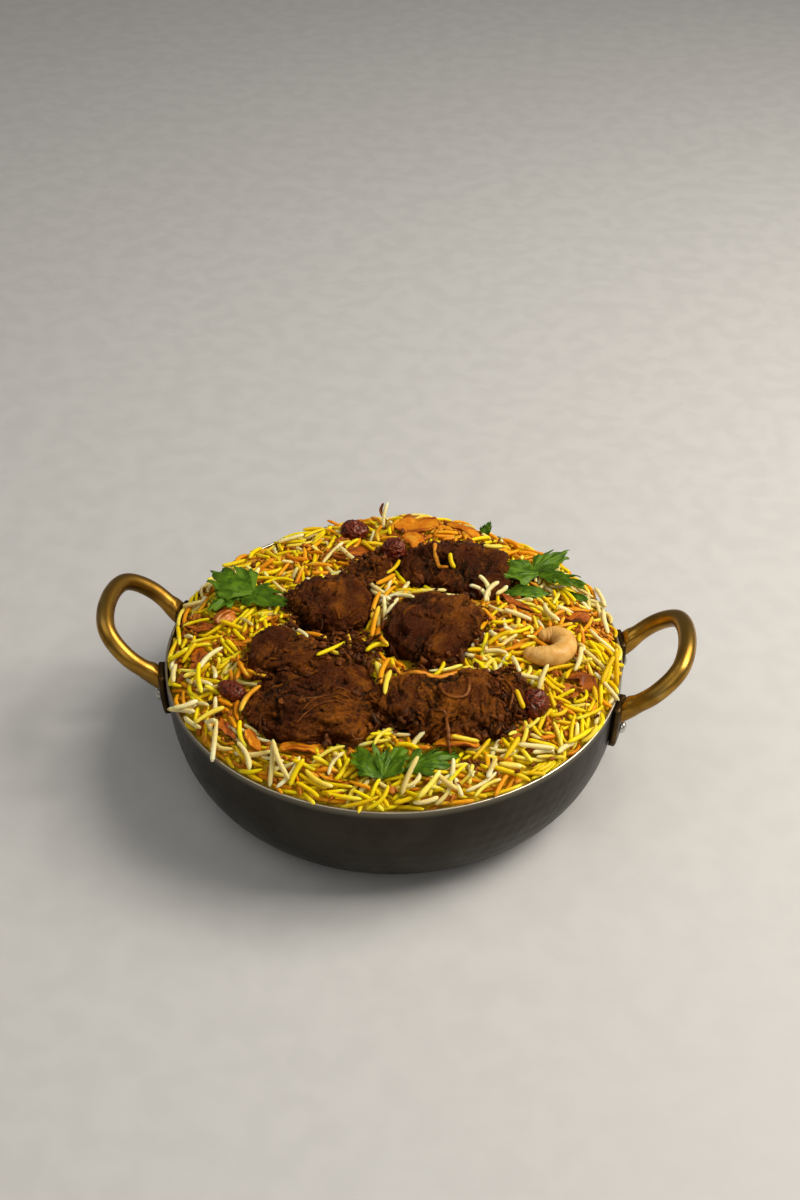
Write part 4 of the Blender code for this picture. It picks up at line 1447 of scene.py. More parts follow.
@dataclass(frozen=True)
class Cashew:
    """Pale fried cashew lying on its side, finely ribbed across its curve."""

    x: float = 68.5
    y: float = -2.0
    lift: float = 3.6
    path: tuple = ((-3.0, 6.9), (1.3, 7.7), (5.8, 4.0), (6.0, -3.2), (1.2, -7.8), (-4.8, -8.2), (-9.0, -7.4))
    half_widths: tuple = (3.2, 4.3, 5.1, 5.4, 5.3, 4.8, 3.5)
    size: float = 0.94
    rib_height: float = 0.15
    flatness: float = 0.92

    def build(self, dome: RiceDome, material: Material) -> Piece:
        """Build the nut at its place on the rice."""
        steps, sides = 14, 32
        path = smooth_path([(x, y, 0.0) for x, y in self.path], steps)
        widths = smooth_path([(width, 0.0, 0.0) for width in self.half_widths], steps)[:, 0]
        along = np.gradient(path, axis=0)
        along = unit(along)
        cap = np.linspace(0.0, 1.0, 9)[1:]
        start_cap = path[0] - along[0] * widths[0] * np.sin(cap * math.pi / 2)[::-1, None]
        end_cap = path[-1] + along[-1] * widths[-1] * np.sin(cap * math.pi / 2)[:, None]
        centres = np.vstack([start_cap, path, end_cap])
        radii = np.concatenate([widths[0] * np.cos(cap * math.pi / 2)[::-1], widths,
                                widths[-1] * np.cos(cap * math.pi / 2)]).clip(0.05)
        ways = np.vstack([np.repeat(along[:1], 8, 0), along, np.repeat(along[-1:], 8, 0)])
        across = np.stack([-ways[:, 1], ways[:, 0], np.zeros(len(ways))], axis=1)
        turns = np.arange(sides) * math.tau / sides
        rows = np.arange(len(centres))
        rib = np.sin(rows * 1.35 + 0.6 * np.sin(rows * 0.5))[:, None] * (0.45 - 0.55 * np.cos(turns))
        count = len(rows)
        fade = smoothstep(0.0, 8.0, rows) * smoothstep(count - 1.0, count - 12.0, rows)
        groove = 0.35 * np.exp(-((turns - math.pi) / 0.35) ** 2)
        radius = radii[:, None] * (1.0 - 0.06 * groove) + self.rib_height * rib * fade[:, None]
        rings = centres[:, None] + (radius * np.cos(turns))[..., None] * across[:, None]
        rings[..., 2] += radius * np.sin(turns) * self.flatness
        vertices = rings.reshape(-1, 3)
        vertices = vertices + 0.18 * noise_at(vertices, 0.18, 2.0)[:, None]
        vertices = vertices * self.size + [self.x, self.y, dome.height(self.x, self.y) + self.lift]
        # ridge follows the ribs; the nut's material paints highlight on them and shade between them.
        values = {"ridge": (0.5 + 0.32 * rib * fade[:, None]).ravel().clip(0, 1)}
        mesh = Shell(vertices, grid_quads(len(centres), sides, True), values=values).mesh("cashew")
        close_tips(mesh)
        return add_piece("cashew_nut", mesh, material, "cashew", ("cashew",))


@dataclass(frozen=True)
class Strip:
    """Flat strip lying on the rice through points of x, y and lift over it."""

    node: str
    points: tuple
    width: float
    thickness: float
    twist: float = 0.0
    ragged: float = 0.12
    wave: float = 0.0

    def build(self, dome: RiceDome, material: Material, slot: str) -> Piece:
        """Build the strip.

        Args:
            dome: Form of the rice's top.
            material: The strip's finish.
            slot: The record's slot.

        Returns:
            The piece.
        """
        steps, sides = 14, 20
        knots = [(x, y, dome.height(x, y) + lift) for x, y, lift in self.points]
        path = smooth_path(knots, steps)
        rows = len(path)
        share = np.linspace(0.0, 1.0, rows)
        shift = self.points[0][0]
        spots = np.stack([share * 4.0, np.full(rows, shift), np.zeros(rows)], axis=1)
        wobble = noise_at(spots, 1.3, 0.5)
        path[:, 2] += self.wave * np.sin(share * 9.0 + shift) * np.sin(math.pi * share)
        along = np.gradient(path, axis=0)
        along = unit(along)
        roll = np.radians(self.twist * (2.0 * share - 1.0) + 14.0 * wobble)
        level = np.cross([0.0, 0.0, 1.0], along)
        level = unit(level)
        rise = np.cross(along, level)
        belly = 0.35 + 0.65 * np.sin(math.pi * share).clip(0) ** 0.6
        half_width = self.width / 2 * belly * (1.0 + self.ragged * 2.0 * wobble)
        half_width[[0, -1]] *= 0.35
        half_thickness = np.full(rows, self.thickness / 2)
        half_thickness[[0, -1]] *= 0.3
        turns = np.arange(sides) * math.tau / sides
        cosine, sine = squared(np.cos(turns), 0.75), squared(np.sin(turns), 0.5)
        lane = np.stack([np.repeat(share * 1.2, sides), np.tile(cosine * self.width * 0.8, rows),
                         np.tile(np.sign(sine) + shift, rows)], axis=1)
        groove = noise_at(lane, 1.0, 4.0).reshape(rows, sides)
        edge = 1.0 + self.ragged * noise_at(lane * [9.0, 0.2, 1.0], 1.0, 9.0).reshape(rows, sides)
        u = half_width[:, None] * cosine * edge
        v = half_thickness[:, None] * sine * (1.0 + 0.5 * groove) + 0.08 * self.width * (cosine**2 - 0.5) * 0.6
        across = level * np.cos(roll)[:, None] + rise * np.sin(roll)[:, None]
        over = rise * np.cos(roll)[:, None] - level * np.sin(roll)[:, None]
        rings = path[:, None] + u[..., None] * across[:, None] + v[..., None] * over[:, None]
        vertices = np.vstack([rings.reshape(-1, 3), path[:1], path[-1:]])
        count = rows * sides
        tips = np.vstack([fan(count, 0, sides, True), fan(count + 1, count - sides, sides)])
        # ridge follows the grooves and drops along the thin edges; the material darkens both, which is painted
        # shade in the grooves.
        ridge = (0.5 + 0.8 * groove - 0.25 * (np.abs(cosine) > 0.8)).ravel().clip(0, 1)
        values = {"ridge": np.concatenate([ridge, [0.5, 0.5]])}
        shell = Shell(vertices, grid_quads(rows, sides, True), tips, values)
        return add_piece(f"{self.node}_strip", shell.mesh(self.node), material, slot, (self.node,))


@dataclass(frozen=True)
class Leaflet:
    """One lobed coriander leaflet: its stalk end, the way it points, its size and how it lies."""

    x: float
    y: float
    lift: float
    heading: float
    length: float
    width: float
    tilt: float = 0.0
    arch: float = 1.5
    fold: float = 0.0
    seed: float = 0.0

    SPREAD = 66.0
    NOTCHES = ((21.0, 0.30, 3.6), (46.0, 0.20, 4.0))
    TEETH = ((24.0, 0.13), (9.0, 0.06))
    THICKNESS = 0.34

    def _outline(self, angle: Array) -> Array:
        """Reach of the blade's edge at each angle from its middle, in degrees."""
        reach = 1.0 - 0.28 * (np.abs(angle) / self.SPREAD) ** 1.6
        skew = 3.0 * math.sin(self.seed * 2.3)
        for middle, depth, width in self.NOTCHES:
            for side in (-1.0, 1.0):
                uneven = 1.0 + 0.25 * math.sin(self.seed * 3.1 + side + middle)
                away = (angle + skew - side * middle) / width
                reach *= 1.0 - depth * uneven * np.exp(-away * away)
        for width, depth in self.TEETH:
            phase = (angle / width + 3.0 * self.seed + 0.15 * np.sin(angle / 5.0)) % 1.0
            reach *= 1.0 - depth * (1.0 - np.abs(2.0 * phase - 1.0)) ** 1.2
        return reach

    def shell(self, dome: RiceDome) -> Shell:
        """The leaflet's blade.

        Args:
            dome: Form of the rice's top.

        Returns:
            A closed shell with "fan" and "reach" for the veins.
        """
        columns, rows = 121, 13
        angle = np.linspace(-self.SPREAD, self.SPREAD, columns)
        edge = self._outline(angle)
        turn = np.radians(angle)
        along_edge = edge * np.cos(turn)
        side_edge = edge * np.sin(turn)
        along_edge = along_edge / along_edge.max()
        side_edge = side_edge / (side_edge.max() - side_edge.min())
        reach = np.linspace(0.0, 1.0, rows) ** 0.8
        along = reach[:, None] * along_edge
        side = reach[:, None] * side_edge
        lobe = np.cos(np.radians(angle) * 360.0 / 26.0)[None]
        ruffle = noise_at(np.stack([along.ravel() * 3.2 + self.seed, side.ravel() * 5.0,
                                    np.zeros(along.size)], axis=1), 1.0, 2.0).reshape(along.shape)
        rise = self.arch * np.sin(math.pi * along.clip(0, 1)) - 1.2 * self.arch * side * side
        rise = rise + 0.5 * lobe * reach[:, None] + 2.0 * ruffle * reach[:, None] + self.fold * np.abs(side)
        local = np.stack([along * self.length, side * self.width, rise], axis=-1)
        across = np.broadcast_to(angle[None] / 8.6, along.shape)
        value = np.broadcast_to(reach[:, None], along.shape)
        tilt = Matrix.Rotation(math.radians(-self.tilt), 3, "Y")
        place = np.array(Matrix.Rotation(math.radians(self.heading), 3, "Z") @ tilt)
        stalk = np.array([self.x, self.y, dome.height(self.x, self.y) + self.lift])
        top = (local + [0.0, 0.0, self.THICKNESS / 2]).reshape(-1, 3) @ place.T + stalk
        bottom = (local - [0.0, 0.0, self.THICKNESS / 2]).reshape(-1, 3) @ place.T + stalk
        quads = grid_quads(rows, columns, False)
        count = rows * columns
        rim = [(rows - 1) * columns + i for i in range(columns)]
        rim = [row * columns for row in range(rows)] + rim[1:]
        rim += [row * columns + columns - 1 for row in range(rows - 2, -1, -1)]
        wall = [(b, a, a + count, b + count) for a, b in zip(rim, rim[1:])]
        values = {"fan": np.tile(across.ravel(), 2), "reach": np.tile(value.ravel(), 2)}
        return Shell(np.vstack([top, bottom]), np.vstack([quads[:, ::-1], quads + count, wall]), values=values)

    def stem(self, dome: RiceDome, length: float) -> Shell:
        """Thin stem behind the leaflet's stalk end."""
        back = math.radians(self.heading + 180.0)
        start = np.array([self.x, self.y, dome.height(self.x, self.y) + self.lift])
        way = np.array([math.cos(back), math.sin(back), -0.12])
        runs = np.linspace(-0.25, 1.0, 8)[:, None] * length
        line = start + runs * way
        line[:, 2] -= 0.02 * runs[:, 0] ** 2
        shell = sweep(line[None], np.array([back]), np.full((1, 8), 0.55), np.full((1, 8), 0.5),
                      np.zeros((1, 8)), 8)
        count = len(shell.vertices)
        shell.values = {"fan": np.zeros(count), "reach": np.zeros(count)}
        return shell


@dataclass(frozen=True)
class Sprig:
    """Coriander leaflets joined at their stalk ends."""

    node: str
    leaves: tuple
    stem: float = 0.0

    def build(self, dome: RiceDome, material: Material) -> Piece:
        """Build the sprig at its place on the rice."""
        shells = [leaf.shell(dome) for leaf in self.leaves]
        if self.stem:
            shells += [leaf.stem(dome, self.stem) for leaf in self.leaves]
        mesh = reduce(Shell.joined, shells).mesh(self.node)
        close_tips(mesh)
        return add_piece(f"{self.node}_leaves", mesh, material, "coriander", (self.node,))


# Rice

@dataclass(frozen=True)
class RiceCore:
    """Packed rice under the loose grains, in low relief, down to the pan's base."""

    dome: RiceDome
    depth: float = 3.6
    segments: int = 300
    rings: int = 84

    def build(self, material: Material) -> Piece:
        """Build the core that stands for the frame's heap."""
        shape = self.dome.shape
        inner = shape.rim_radius - shape.wall - 0.15
        radii = np.linspace(0.5, inner - 0.4, self.rings)
        wall = shape.wall_profile(shape.wall + 0.15, 12)[1:]
        profile = np.vstack([np.stack([radii, np.zeros(self.rings)], axis=1), wall])
        shell = turned(profile, self.segments)
        top = shell.vertices[: self.rings * self.segments]
        heights = np.array([self.dome.height(x, y) for x, y in top[:, :2]])
        grain = 1.0 - 2.5 * np.abs(noise_at(top * [1.0, 1.0, 0.0], (0.5, 0.5, 1.0), 4.0))
        fine = noise_at(top * [1.0, 1.0, 0.0], (1.1, 0.7, 1.0), 2.0)
        top[:, 2] = heights - self.depth + 0.7 * grain + 0.4 * fine
        middle = self.dome.height(0.0, 0.0) - self.depth
        shell.close_ends((0.0, 0.0, middle), (0.0, 0.0, wall[-1, 1]), self.segments)
        # ridge follows the relief; the packed rice's material paints shade in its hollows and highlight on its
        # crests.
        ridge = np.full(len(shell.vertices), 0.5)
        ridge[: len(grain)] = (0.5 + 0.4 * grain).clip(0, 1)
        shell.values = {"ridge": ridge}
        return add_piece("rice_core", shell.mesh("rice_core"), material, "rice", ("rice_heap",))


@dataclass(frozen=True)
class Stick:
    """Kind of small long thing laid in the heap, and how much each one differs."""

    name: str
    slot: str
    length: tuple
    half_width: tuple
    flatness: float = 0.9
    bow: float = 0.9
    unevenness: float = 0.05
    bluntness: float = 2.6
    sides: int = 7
    rings: int = 9
    roll: float = 0.5


StickChoice = Callable[[float, float], Stick]


class Dye(Enum):
    """Kinds of rice grain by their dye."""

    WHITE = "white"
    PALE = "pale"
    YELLOW = "yellow"
    MASALA = "masala"


GRAIN_STICKS = {
    dye: Stick(f"rice_{dye.value}", "rice", (9.0, 17.0), (0.82, 1.1), 0.92, 1.3, 0.05, 6.5) for dye in Dye
}


@dataclass
class Laid:
    """One stick laid in the heap."""

    line: Array
    heading: float
    half_width: float


@dataclass(frozen=True)
class DyeRegion:
    """Part of the heap where one dye is more common."""

    x: float
    y: float
    spread: float
    dye: Dye
    weight: float


class Heap:
    """Lays sticks of many kinds over each other on the terrain."""

    EDGE = 97.6
    FARTHEST = 102.9
    INSIDE = 99.4
    INSIDE_RIGHT = 100.6
    WALL = 99.5
    SCATTERED = 96.0  # radius of the disc for random places
    RIM_BAND = 91.0
    ROUND_THE_RIM = 0.8  # share of the sticks beside the rim that run round it
    CLEAR_OF_WALL = 97.0
    OVER_WALL = 56.2
    DEEPEST_FOOT = 2.6
    PLANTED_SHARE = 0.85
    OVERHANGING = 0.1
    SETTLING_TURNS = (0.0, 0.5, -0.5, 1.1)
    RECHECK = 150  # tries after which the open places are looked up again

    def __init__(self, terrain: Terrain, seed: int) -> None:
        """Start on a terrain with a seed for every draw."""
        self.terrain = terrain
        self.random = np.random.default_rng(seed)
        self.laid: dict = {}

    def open_places(self, margin: float) -> Array:
        """Places where the heap is still lower than its top by a margin."""
        terrain = self.terrain
        radius = np.hypot(terrain.x, terrain.y)
        low = (terrain.heights < terrain.target - margin) & (radius < self.EDGE)
        return np.stack([terrain.x[low], terrain.y[low]], axis=1)

    def somewhere(self) -> tuple[float, float]:
        """Random place on the heap."""
        radius, turn = self.SCATTERED * math.sqrt(self.random.random()), self.random.uniform(0, math.tau)
        return radius * math.cos(turn), radius * math.sin(turn)

    def _reach(self, x: float) -> float:
        """How far from the middle a stick may reach: few hang over the rim, more on the right."""
        inside = self.INSIDE_RIGHT if x > 0.0 else self.INSIDE
        return self.FARTHEST if self.random.random() < self.OVERHANGING else inside

    def _over_rim(self, line: Array, half_width: float) -> Array:
        """Lift the outer end of a stick that would run through the pan's wall."""
        radius = np.hypot(line[:, 0], line[:, 1])
        beyond = radius > self.WALL
        if beyond.any():
            share = ((radius - radius.min()) / max(np.ptp(radius), 1.0)).clip(0.15)
            lift = (self.terrain.rim + half_width - line[beyond, 2]) / share[beyond]
            line[:, 2] += share * max(lift.max(), 0.0)
        return line

    def lay(self, stick: Stick, x: float, y: float, heading: float, length: float, tilt: float) -> None:
        """Lay one stick where it is wanted.

        Args:
            stick: Its kind.
            x, y: Place of its middle.
            heading: Direction seen from above, in degrees.
            length: Its length.
            tilt: Angle above the level if its end is buried, in degrees; 0 if it lies.
        """
        way, radius = math.radians(heading), stick.half_width[1]
        if tilt:
            wanted = replace(stick, length=(length / self.PLANTED_SHARE,) * 2)
            self.plant(wanted, x, y, way, math.radians(tilt), 20.0)
            return
        bow = self.random.normal(0.0, 1.0)
        for _ in range(3):
            line = self.terrain.rest(x, y, way, length / 2, radius, bow, stick.rings)
            over = np.hypot(line[:, 0], line[:, 1]).max() - self.FARTHEST
            if over <= 0.0:
                break
            nearer = 1.0 - over / math.hypot(x, y)
            x, y = x * nearer, y * nearer
        self._keep(stick, self._over_rim(line, radius), way, radius)

    def cross(self, pieces: list, each: int, proud: float, choose: StickChoice) -> None:
        """Lay a few sticks across pieces that lie on the rice.

        Args:
            pieces: The pieces.
            each: How many to try on each.
            proud: How far a stick may stand above the rice's top.
            choose: Function of x and y that gives the kind of stick.
        """
        for piece in pieces:
            places = points_of(piece.data)[0]
            for spot in self.random.choice(len(places), each):
                x, y = places[spot, :2] + self.random.normal(0.0, 1.5, 2)
                self.try_rest(choose(x, y), x, y, self.random.uniform(0.0, math.tau), proud)

    def _keep(self, stick: Stick, line: Array, heading: float, half_width: float) -> None:
        """Record a stick and raise the terrain under it."""
        self.terrain.stamp(line, half_width * stick.flatness, heading)
        self.laid.setdefault(stick.name, (stick, []))[1].append(Laid(line, heading, half_width))

    def try_rest(self, stick: Stick, x: float, y: float, heading: float, proud: float) -> bool:
        """Let one stick come to rest at a place.

        Args:
            stick: Its kind.
            x, y: Place of its middle.
            heading: Direction seen from above, in radians.
            proud: How far it may stand above the rice's top.

        Returns:
            True if it found room.
        """
        half_length = self.random.uniform(*stick.length) / 2
        half_width = self.random.uniform(*stick.half_width)
        bow = self.random.normal(0.0, 1.0) * stick.bow
        tries = [heading + turn for turn in self.SETTLING_TURNS]
        lines = [self.terrain.rest(x, y, way, half_length, half_width * stick.flatness, bow, stick.rings)
                 for way in tries]
        lowest = int(np.argmin([line[:, 2].mean() for line in lines]))
        line, heading = lines[lowest], tries[lowest]
        if np.hypot(line[:, 0], line[:, 1]).max() > self._reach(x):
            return False
        line = self._over_rim(line, half_width)
        if not self.terrain.fits(line, half_width * stick.flatness, proud):
            return False
        self._keep(stick, line, heading, half_width)
        return True

    def fill(self, count: int, margin: float, proud: float, choose: StickChoice) -> int:
        """Lay sticks where the heap is low.

        Args:
            count: How many to lay.
            margin: How far under its top the heap has to be.
            proud: How far a stick may stand above the rice's top.
            choose: Function of x and y that gives the kind of stick.

        Returns:
            How many found room.
        """
        done = 0
        misses = 0
        places = self.open_places(margin)
        while done < count and misses < 5 * count and len(places):
            if (done + misses) % self.RECHECK == self.RECHECK - 1:
                places = self.open_places(margin)
                if not len(places):
                    break
            x, y = places[self.random.integers(len(places))]
            heading = self._heading(x, y)
            if self.try_rest(choose(x, y), x, y, heading, proud):
                done += 1
            else:
                misses += 1
        return done

    def _heading(self, x: float, y: float) -> float:
        """Direction of a stick: loosely alike in clumps, and round the rim beside it."""
        clump = math.pi * 1.6 * noise.noise((x * 0.045, y * 0.045, 3.0))
        heading = clump + self.random.normal(0.0, 0.85)
        radius = math.hypot(x, y)
        if radius > self.RIM_BAND and self.random.random() < self.ROUND_THE_RIM:
            heading = math.atan2(y, x) + math.pi / 2 + self.random.normal(0.0, 0.35)
        return heading

    def plant(self, stick: Stick, x: float, y: float, heading: float, tilt: float, proud: float) -> bool:
        """Stand one stick in the heap with its lower end buried.

        Args:
            stick: Its kind.
            x, y: Place of its foot.
            heading: Direction that it leans in, in radians.
            tilt: Angle above the level, in radians.
            proud: How far it may stand above the rice's top.

        Returns:
            True if it found room.
        """
        terrain = self.terrain
        length = self.random.uniform(*stick.length) * self.PLANTED_SHARE
        half_width = self.random.uniform(*stick.half_width)
        share = np.linspace(0.0, 1.0, stick.rings)
        lean = tilt * (1.15 - 0.5 * share)
        step = length / (stick.rings - 1)
        run = np.concatenate([[0.0], np.cumsum(np.cos(lean[1:])) * step])
        rise = np.concatenate([[0.0], np.cumsum(np.sin(lean[1:])) * step])
        side = self.random.normal(0.0, 0.8) * share * (1.0 - share) * 2.0
        px = x + run * math.cos(heading) - side * math.sin(heading)
        py = y + run * math.sin(heading) + side * math.cos(heading)
        pz = terrain.height(x, y) - min(self.DEEPEST_FOOT, 0.3 * length * math.sin(tilt)) + rise
        line = np.stack([px, py, pz], axis=1)
        radius = np.hypot(px, py)
        in_wall = (radius > self.CLEAR_OF_WALL) & (pz < self.OVER_WALL)
        if radius.max() > self._reach(x) or np.any(in_wall):
            return False
        ground = terrain.heights[terrain.cells(px, py)]
        if np.any(ground[3:] > pz[3:] + 1.5) or not terrain.fits(line, half_width, proud):
            return False
        self._keep(stick, line, heading, half_width)
        return True

    def build(self, name: str, material: Material, seed: int) -> Piece:
        """Mesh of every laid stick of one kind.

        Args:
            name: Name of the kind and of the piece.
            material: Its finish.
            seed: Seed of the small differences.

        Returns:
            The piece.
        """
        stick, laid = self.laid[name]
        random = np.random.default_rng(seed)
        count = len(laid)
        points = stick.rings + 2
        share = np.linspace(0.0, 1.0, stick.rings)
        inner = 0.08 + 0.84 * np.linspace(0.0, 1.0, stick.rings)
        eased = np.concatenate([[0.0], 0.5 - 0.5 * np.cos(math.pi * inner), [1.0]])
        lines = np.array([item.line for item in laid])
        spots = np.stack([
            np.stack([np.interp(eased, share, line[:, i]) for i in range(3)], axis=1) for line in lines
        ])
        centred = np.abs(2.0 * eased - 1.0)
        profile = (1.0 - centred**stick.bluntness).clip(0) ** 0.5
        widths = np.array([item.half_width for item in laid])[:, None] * profile
        slimmer = random.uniform(-0.16, 0.16, (count, 1)) * (2.0 * eased - 1.0)
        widths = widths * (1.0 + slimmer + stick.unevenness * random.normal(0.0, 1.0, widths.shape))
        heights = widths * stick.flatness * (1.0 + stick.unevenness * random.normal(0.0, 1.0, widths.shape))
        rolls = random.normal(0.0, stick.roll, (count, 1)) + np.zeros((1, points))
        headings = np.array([item.heading for item in laid])
        shell = sweep(spots, headings, widths, heights, rolls, stick.sides)
        shade = repeated(random.random(count), shell)
        flip = repeated(random.random(count) < 0.5, shell)
        shift = repeated(random.uniform(-0.45, 0.25, count), shell)
        along = shell.values.pop("along")
        dye = np.where(flip, 1.0 - along, along) + shift
        ridge = (0.2 + 0.6 * shade + 0.15 * noise_at(shell.vertices, 0.9)).clip(0, 1)
        shell.values = {"shade": shade, "dye": dye, "ridge": ridge}
        return add_piece(name, shell.mesh(name), material, stick.slot)


@dataclass(frozen=True)
class Strand:
    """Long thin thing that follows what it lies on, through places of x and y."""

    path: tuple
    half_width: float
    lift: float = 0.4
    flatness: float = 0.7

    def line(self, terrain: Terrain, points: int) -> Array:
        """Middle line over the terrain.

        Args:
            terrain: What it lies on.
            points: Points along it.

        Returns:
            One point to a row.
        """
        flat = smooth_path([(x, y, 0.0) for x, y in self.path], 8)[:, :2]
        share = np.linspace(0, len(flat) - 1, points)
        line = np.stack([np.interp(share, np.arange(len(flat)), flat[:, i]) for i in range(2)], axis=1)
        height = terrain.heights[terrain.cells(line[:, 0], line[:, 1])]
        span = np.pad(height, 3, mode="edge")
        level = np.array([span[i:i + 7].mean() for i in range(points)])
        height = np.maximum(level, 0.5 * (level + height)) + self.lift
        return np.column_stack([line, height])


def strand_piece(name: str, strands: tuple, terrain: Terrain, material: Material,
                 slot: str) -> Piece:
    """Build strands of one kind as one piece.

    Args:
        name: Name of the piece.
        strands: The strands.
        terrain: What they lie on.
        material: Their finish.
        slot: The record's slot.

    Returns:
        The piece.
    """
    points, sides = 34, 8
    share = np.linspace(0.0, 1.0, points)
    shells = []
    for number, strand in enumerate(strands):
        line = strand.line(terrain, points)
        uneven = 1.0 + 0.3 * noise_at(np.stack([share * 5.0, share, share], axis=1), 1.0, 3.1 * number)
        width = strand.half_width * uneven * (1.0 - np.abs(2.0 * share - 1.0) ** 6) ** 0.5
        along = np.gradient(line[:, :2], axis=0)
        heading = np.unwrap(np.arctan2(along[:, 1], along[:, 0]))
        pieces = sweep(line[None], np.array([heading.mean()]), width[None], width[None] * strand.flatness,
                       np.zeros((1, points)), sides)
        pieces.values = {"ridge": 0.5 + 0.4 * noise_at(pieces.vertices, 0.7, number)}
        shells.append(pieces)
    return add_piece(name, reduce(Shell.joined, shells).mesh(name), material, slot)


@dataclass(frozen=True)
class RiceMix:
    """Which dye a grain has at each place."""

    regions: tuple
    base: tuple = ((Dye.WHITE, 0.24), (Dye.PALE, 0.22), (Dye.YELLOW, 0.42), (Dye.MASALA, 0.12))

    def choose(self, x: float, y: float, random: np.random.Generator) -> Dye:
        """Draw the dye of a grain.

        Args:
            x, y: Place of the grain.
            random: Source of the draw.

        Returns:
            The dye.
        """
        weights = {dye: weight for dye, weight in self.base}
        clump = noise.noise((x * 0.07, y * 0.07, 5.0))
        weights[Dye.YELLOW] *= math.exp(1.3 * clump)
        weights[Dye.WHITE] *= math.exp(-1.3 * clump)
        for region in self.regions:
            away = math.hypot(x - region.x, y - region.y) / region.spread
            weights[region.dye] += region.weight * math.exp(-away * away)
        dyes = list(weights)
        shares = np.array([weights[dye] for dye in dyes])
        return dyes[random.choice(len(dyes), p=shares / shares.sum())]


# Studio

@dataclass(frozen=True)
class Lamp:
    """Soft square lamp that points at the pan."""

    name: str
    azimuth: float
    elevation: float
    distance: float
    size: float
    power: float
    colour: tuple = (1.0, 1.0, 1.0)

    def build(self) -> None:
        """Add the lamp."""
        data = bpy.data.lights.new(self.name, "AREA")
        data.shape = "SQUARE"
        data.size = self.size
        data.energy = self.power
        data.color = self.colour
        lamp = bpy.data.objects.new(self.name, data)
        turn, rise = math.radians(self.azimuth), math.radians(self.elevation)
        way = Vector((math.cos(turn) * math.cos(rise), math.sin(turn) * math.cos(rise), math.sin(rise)))
        lamp.location = way * self.distance
        lamp.rotation_mode = "QUATERNION"
        lamp.rotation_quaternion = (-way).to_track_quat("-Z", "Y")
        bpy.context.collection.objects.link(lamp)


@dataclass(frozen=True)
class Studio:
    """Pale floor, soft lamps and the camera, in metres."""

    floor_half: float = 8.0
    camera_turn: float = math.radians(6.2)
    camera_rise: float = math.radians(37.8)
    camera_distance: float = 0.8504
    aim: tuple = (-0.0089, 0.1069, 0.0)
    lamps: tuple = (
        Lamp("key", 10.0, 50.0, 1.15, 0.7, 16.5, (1.0, 0.95, 0.87)),
        Lamp("fill", 200.0, 62.0, 1.5, 1.2, 4.0, (1.0, 0.98, 0.95)),
        Lamp("front", -75.0, 38.0, 1.6, 0.9, 3.0, (1.0, 0.97, 0.92)),
    )
    world_strength: float = 0.17

    def _floor(self) -> None:
        """Plain pale floor with a faint grain."""
        mesh = bpy.data.meshes.new("floor")
        half = self.floor_half
        corners = [(-half, -half, 0), (half, -half, 0), (half, half, 0), (-half, half, 0)]
        mesh.from_pydata(corners, [], [(0, 1, 2, 3)])
        sheet = MaterialSheet("floor", {})
        shades = {"Scale": 70.0, "First": tint(188, 186, 182), "Second": tint(191, 189, 185)}
        cloud = sheet.group(Effect.MOTTLE, shades)
        mask = cloud.outputs["Mask"]
        roughness = sheet.span(mask, 0.0, 1.0, 0.6, 0.75)
        mesh.materials.append(sheet.finished(cloud.outputs["Color"], roughness, mask, 0.02, 0.01))
        floor = bpy.data.objects.new("floor", mesh)
        bpy.context.collection.objects.link(floor)

    def _camera(self) -> None:
        """Camera that looks down at the pan from in front."""
        data = bpy.data.cameras.new("camera")
        data.lens = 50.0
        data.sensor_width = 36.0
        camera = bpy.data.objects.new("camera", data)
        level = math.cos(self.camera_rise)
        back = Vector((math.sin(self.camera_turn) * level, -math.cos(self.camera_turn) * level,
                       math.sin(self.camera_rise)))
        camera.location = Vector(self.aim) + back * self.camera_distance
        camera.rotation_mode = "QUATERNION"
        camera.rotation_quaternion = (-back).to_track_quat("-Z", "Y")
        bpy.context.collection.objects.link(camera)
        bpy.context.scene.camera = camera

    def build(self) -> None:
        """Set the stage."""
        world = bpy.data.worlds.new("studio")
        world.use_nodes = True
        background = world.node_tree.nodes["Background"]
        background.inputs["Color"].default_value = (0.93, 0.95, 1.0, 1.0)
        background.inputs["Strength"].default_value = self.world_strength
        bpy.context.scene.world = world
        bpy.context.scene.view_settings.view_transform = "Standard"
        self._floor()
        self._camera()
        for lamp in self.lamps:
            lamp.build()


# The dish

MEATS = (
    MeatChunk("meat_left", 20.0, 14.0, 0.35, ((-38, -16, 6, 0.9),)),
    MeatChunk("meat_front_left", 15.0, 26.0, 0.3, ((-8, -58, 11, 0.8), (-48, -50, 7, 0.4))),
    MeatChunk("meat_back_left", 60.0, 0.0, 0.3, ((-24, 22, 8, 0.35), (-22, 2, 6, 0.4))),
    MeatChunk("meat_ridge", 70.0, 0.0, 0.5),
    MeatChunk("meat_back_right", 80.0, 0.0, 0.25, ((30, 40, 9, 0.35),)),
    MeatChunk("meat_centre", 75.0, 0.0, 0.35, ((26, 12, 12, 0.7), (8, -8, 10, -0.5))),
    MeatChunk("meat_front_right", 95.0, 0.0, 0.6, ((20, -40, 14, 0.35),)),
    MeatChunk("meat_shreds", 95.0, 0.0, 0.6, threads=0.8),
)
STRAND_COUNTS = (
    ("meat_left", 18), ("meat_front_left", 50), ("meat_back_left", 22), ("meat_ridge", 16),
    ("meat_back_right", 22), ("meat_centre", 14), ("meat_front_right", 34), ("meat_shreds", 40),
)
RAISINS = (Raisin("raisin_right"), Raisin("raisin_left"), Raisin("raisin_back"), Raisin("raisin_dark", 0.7))
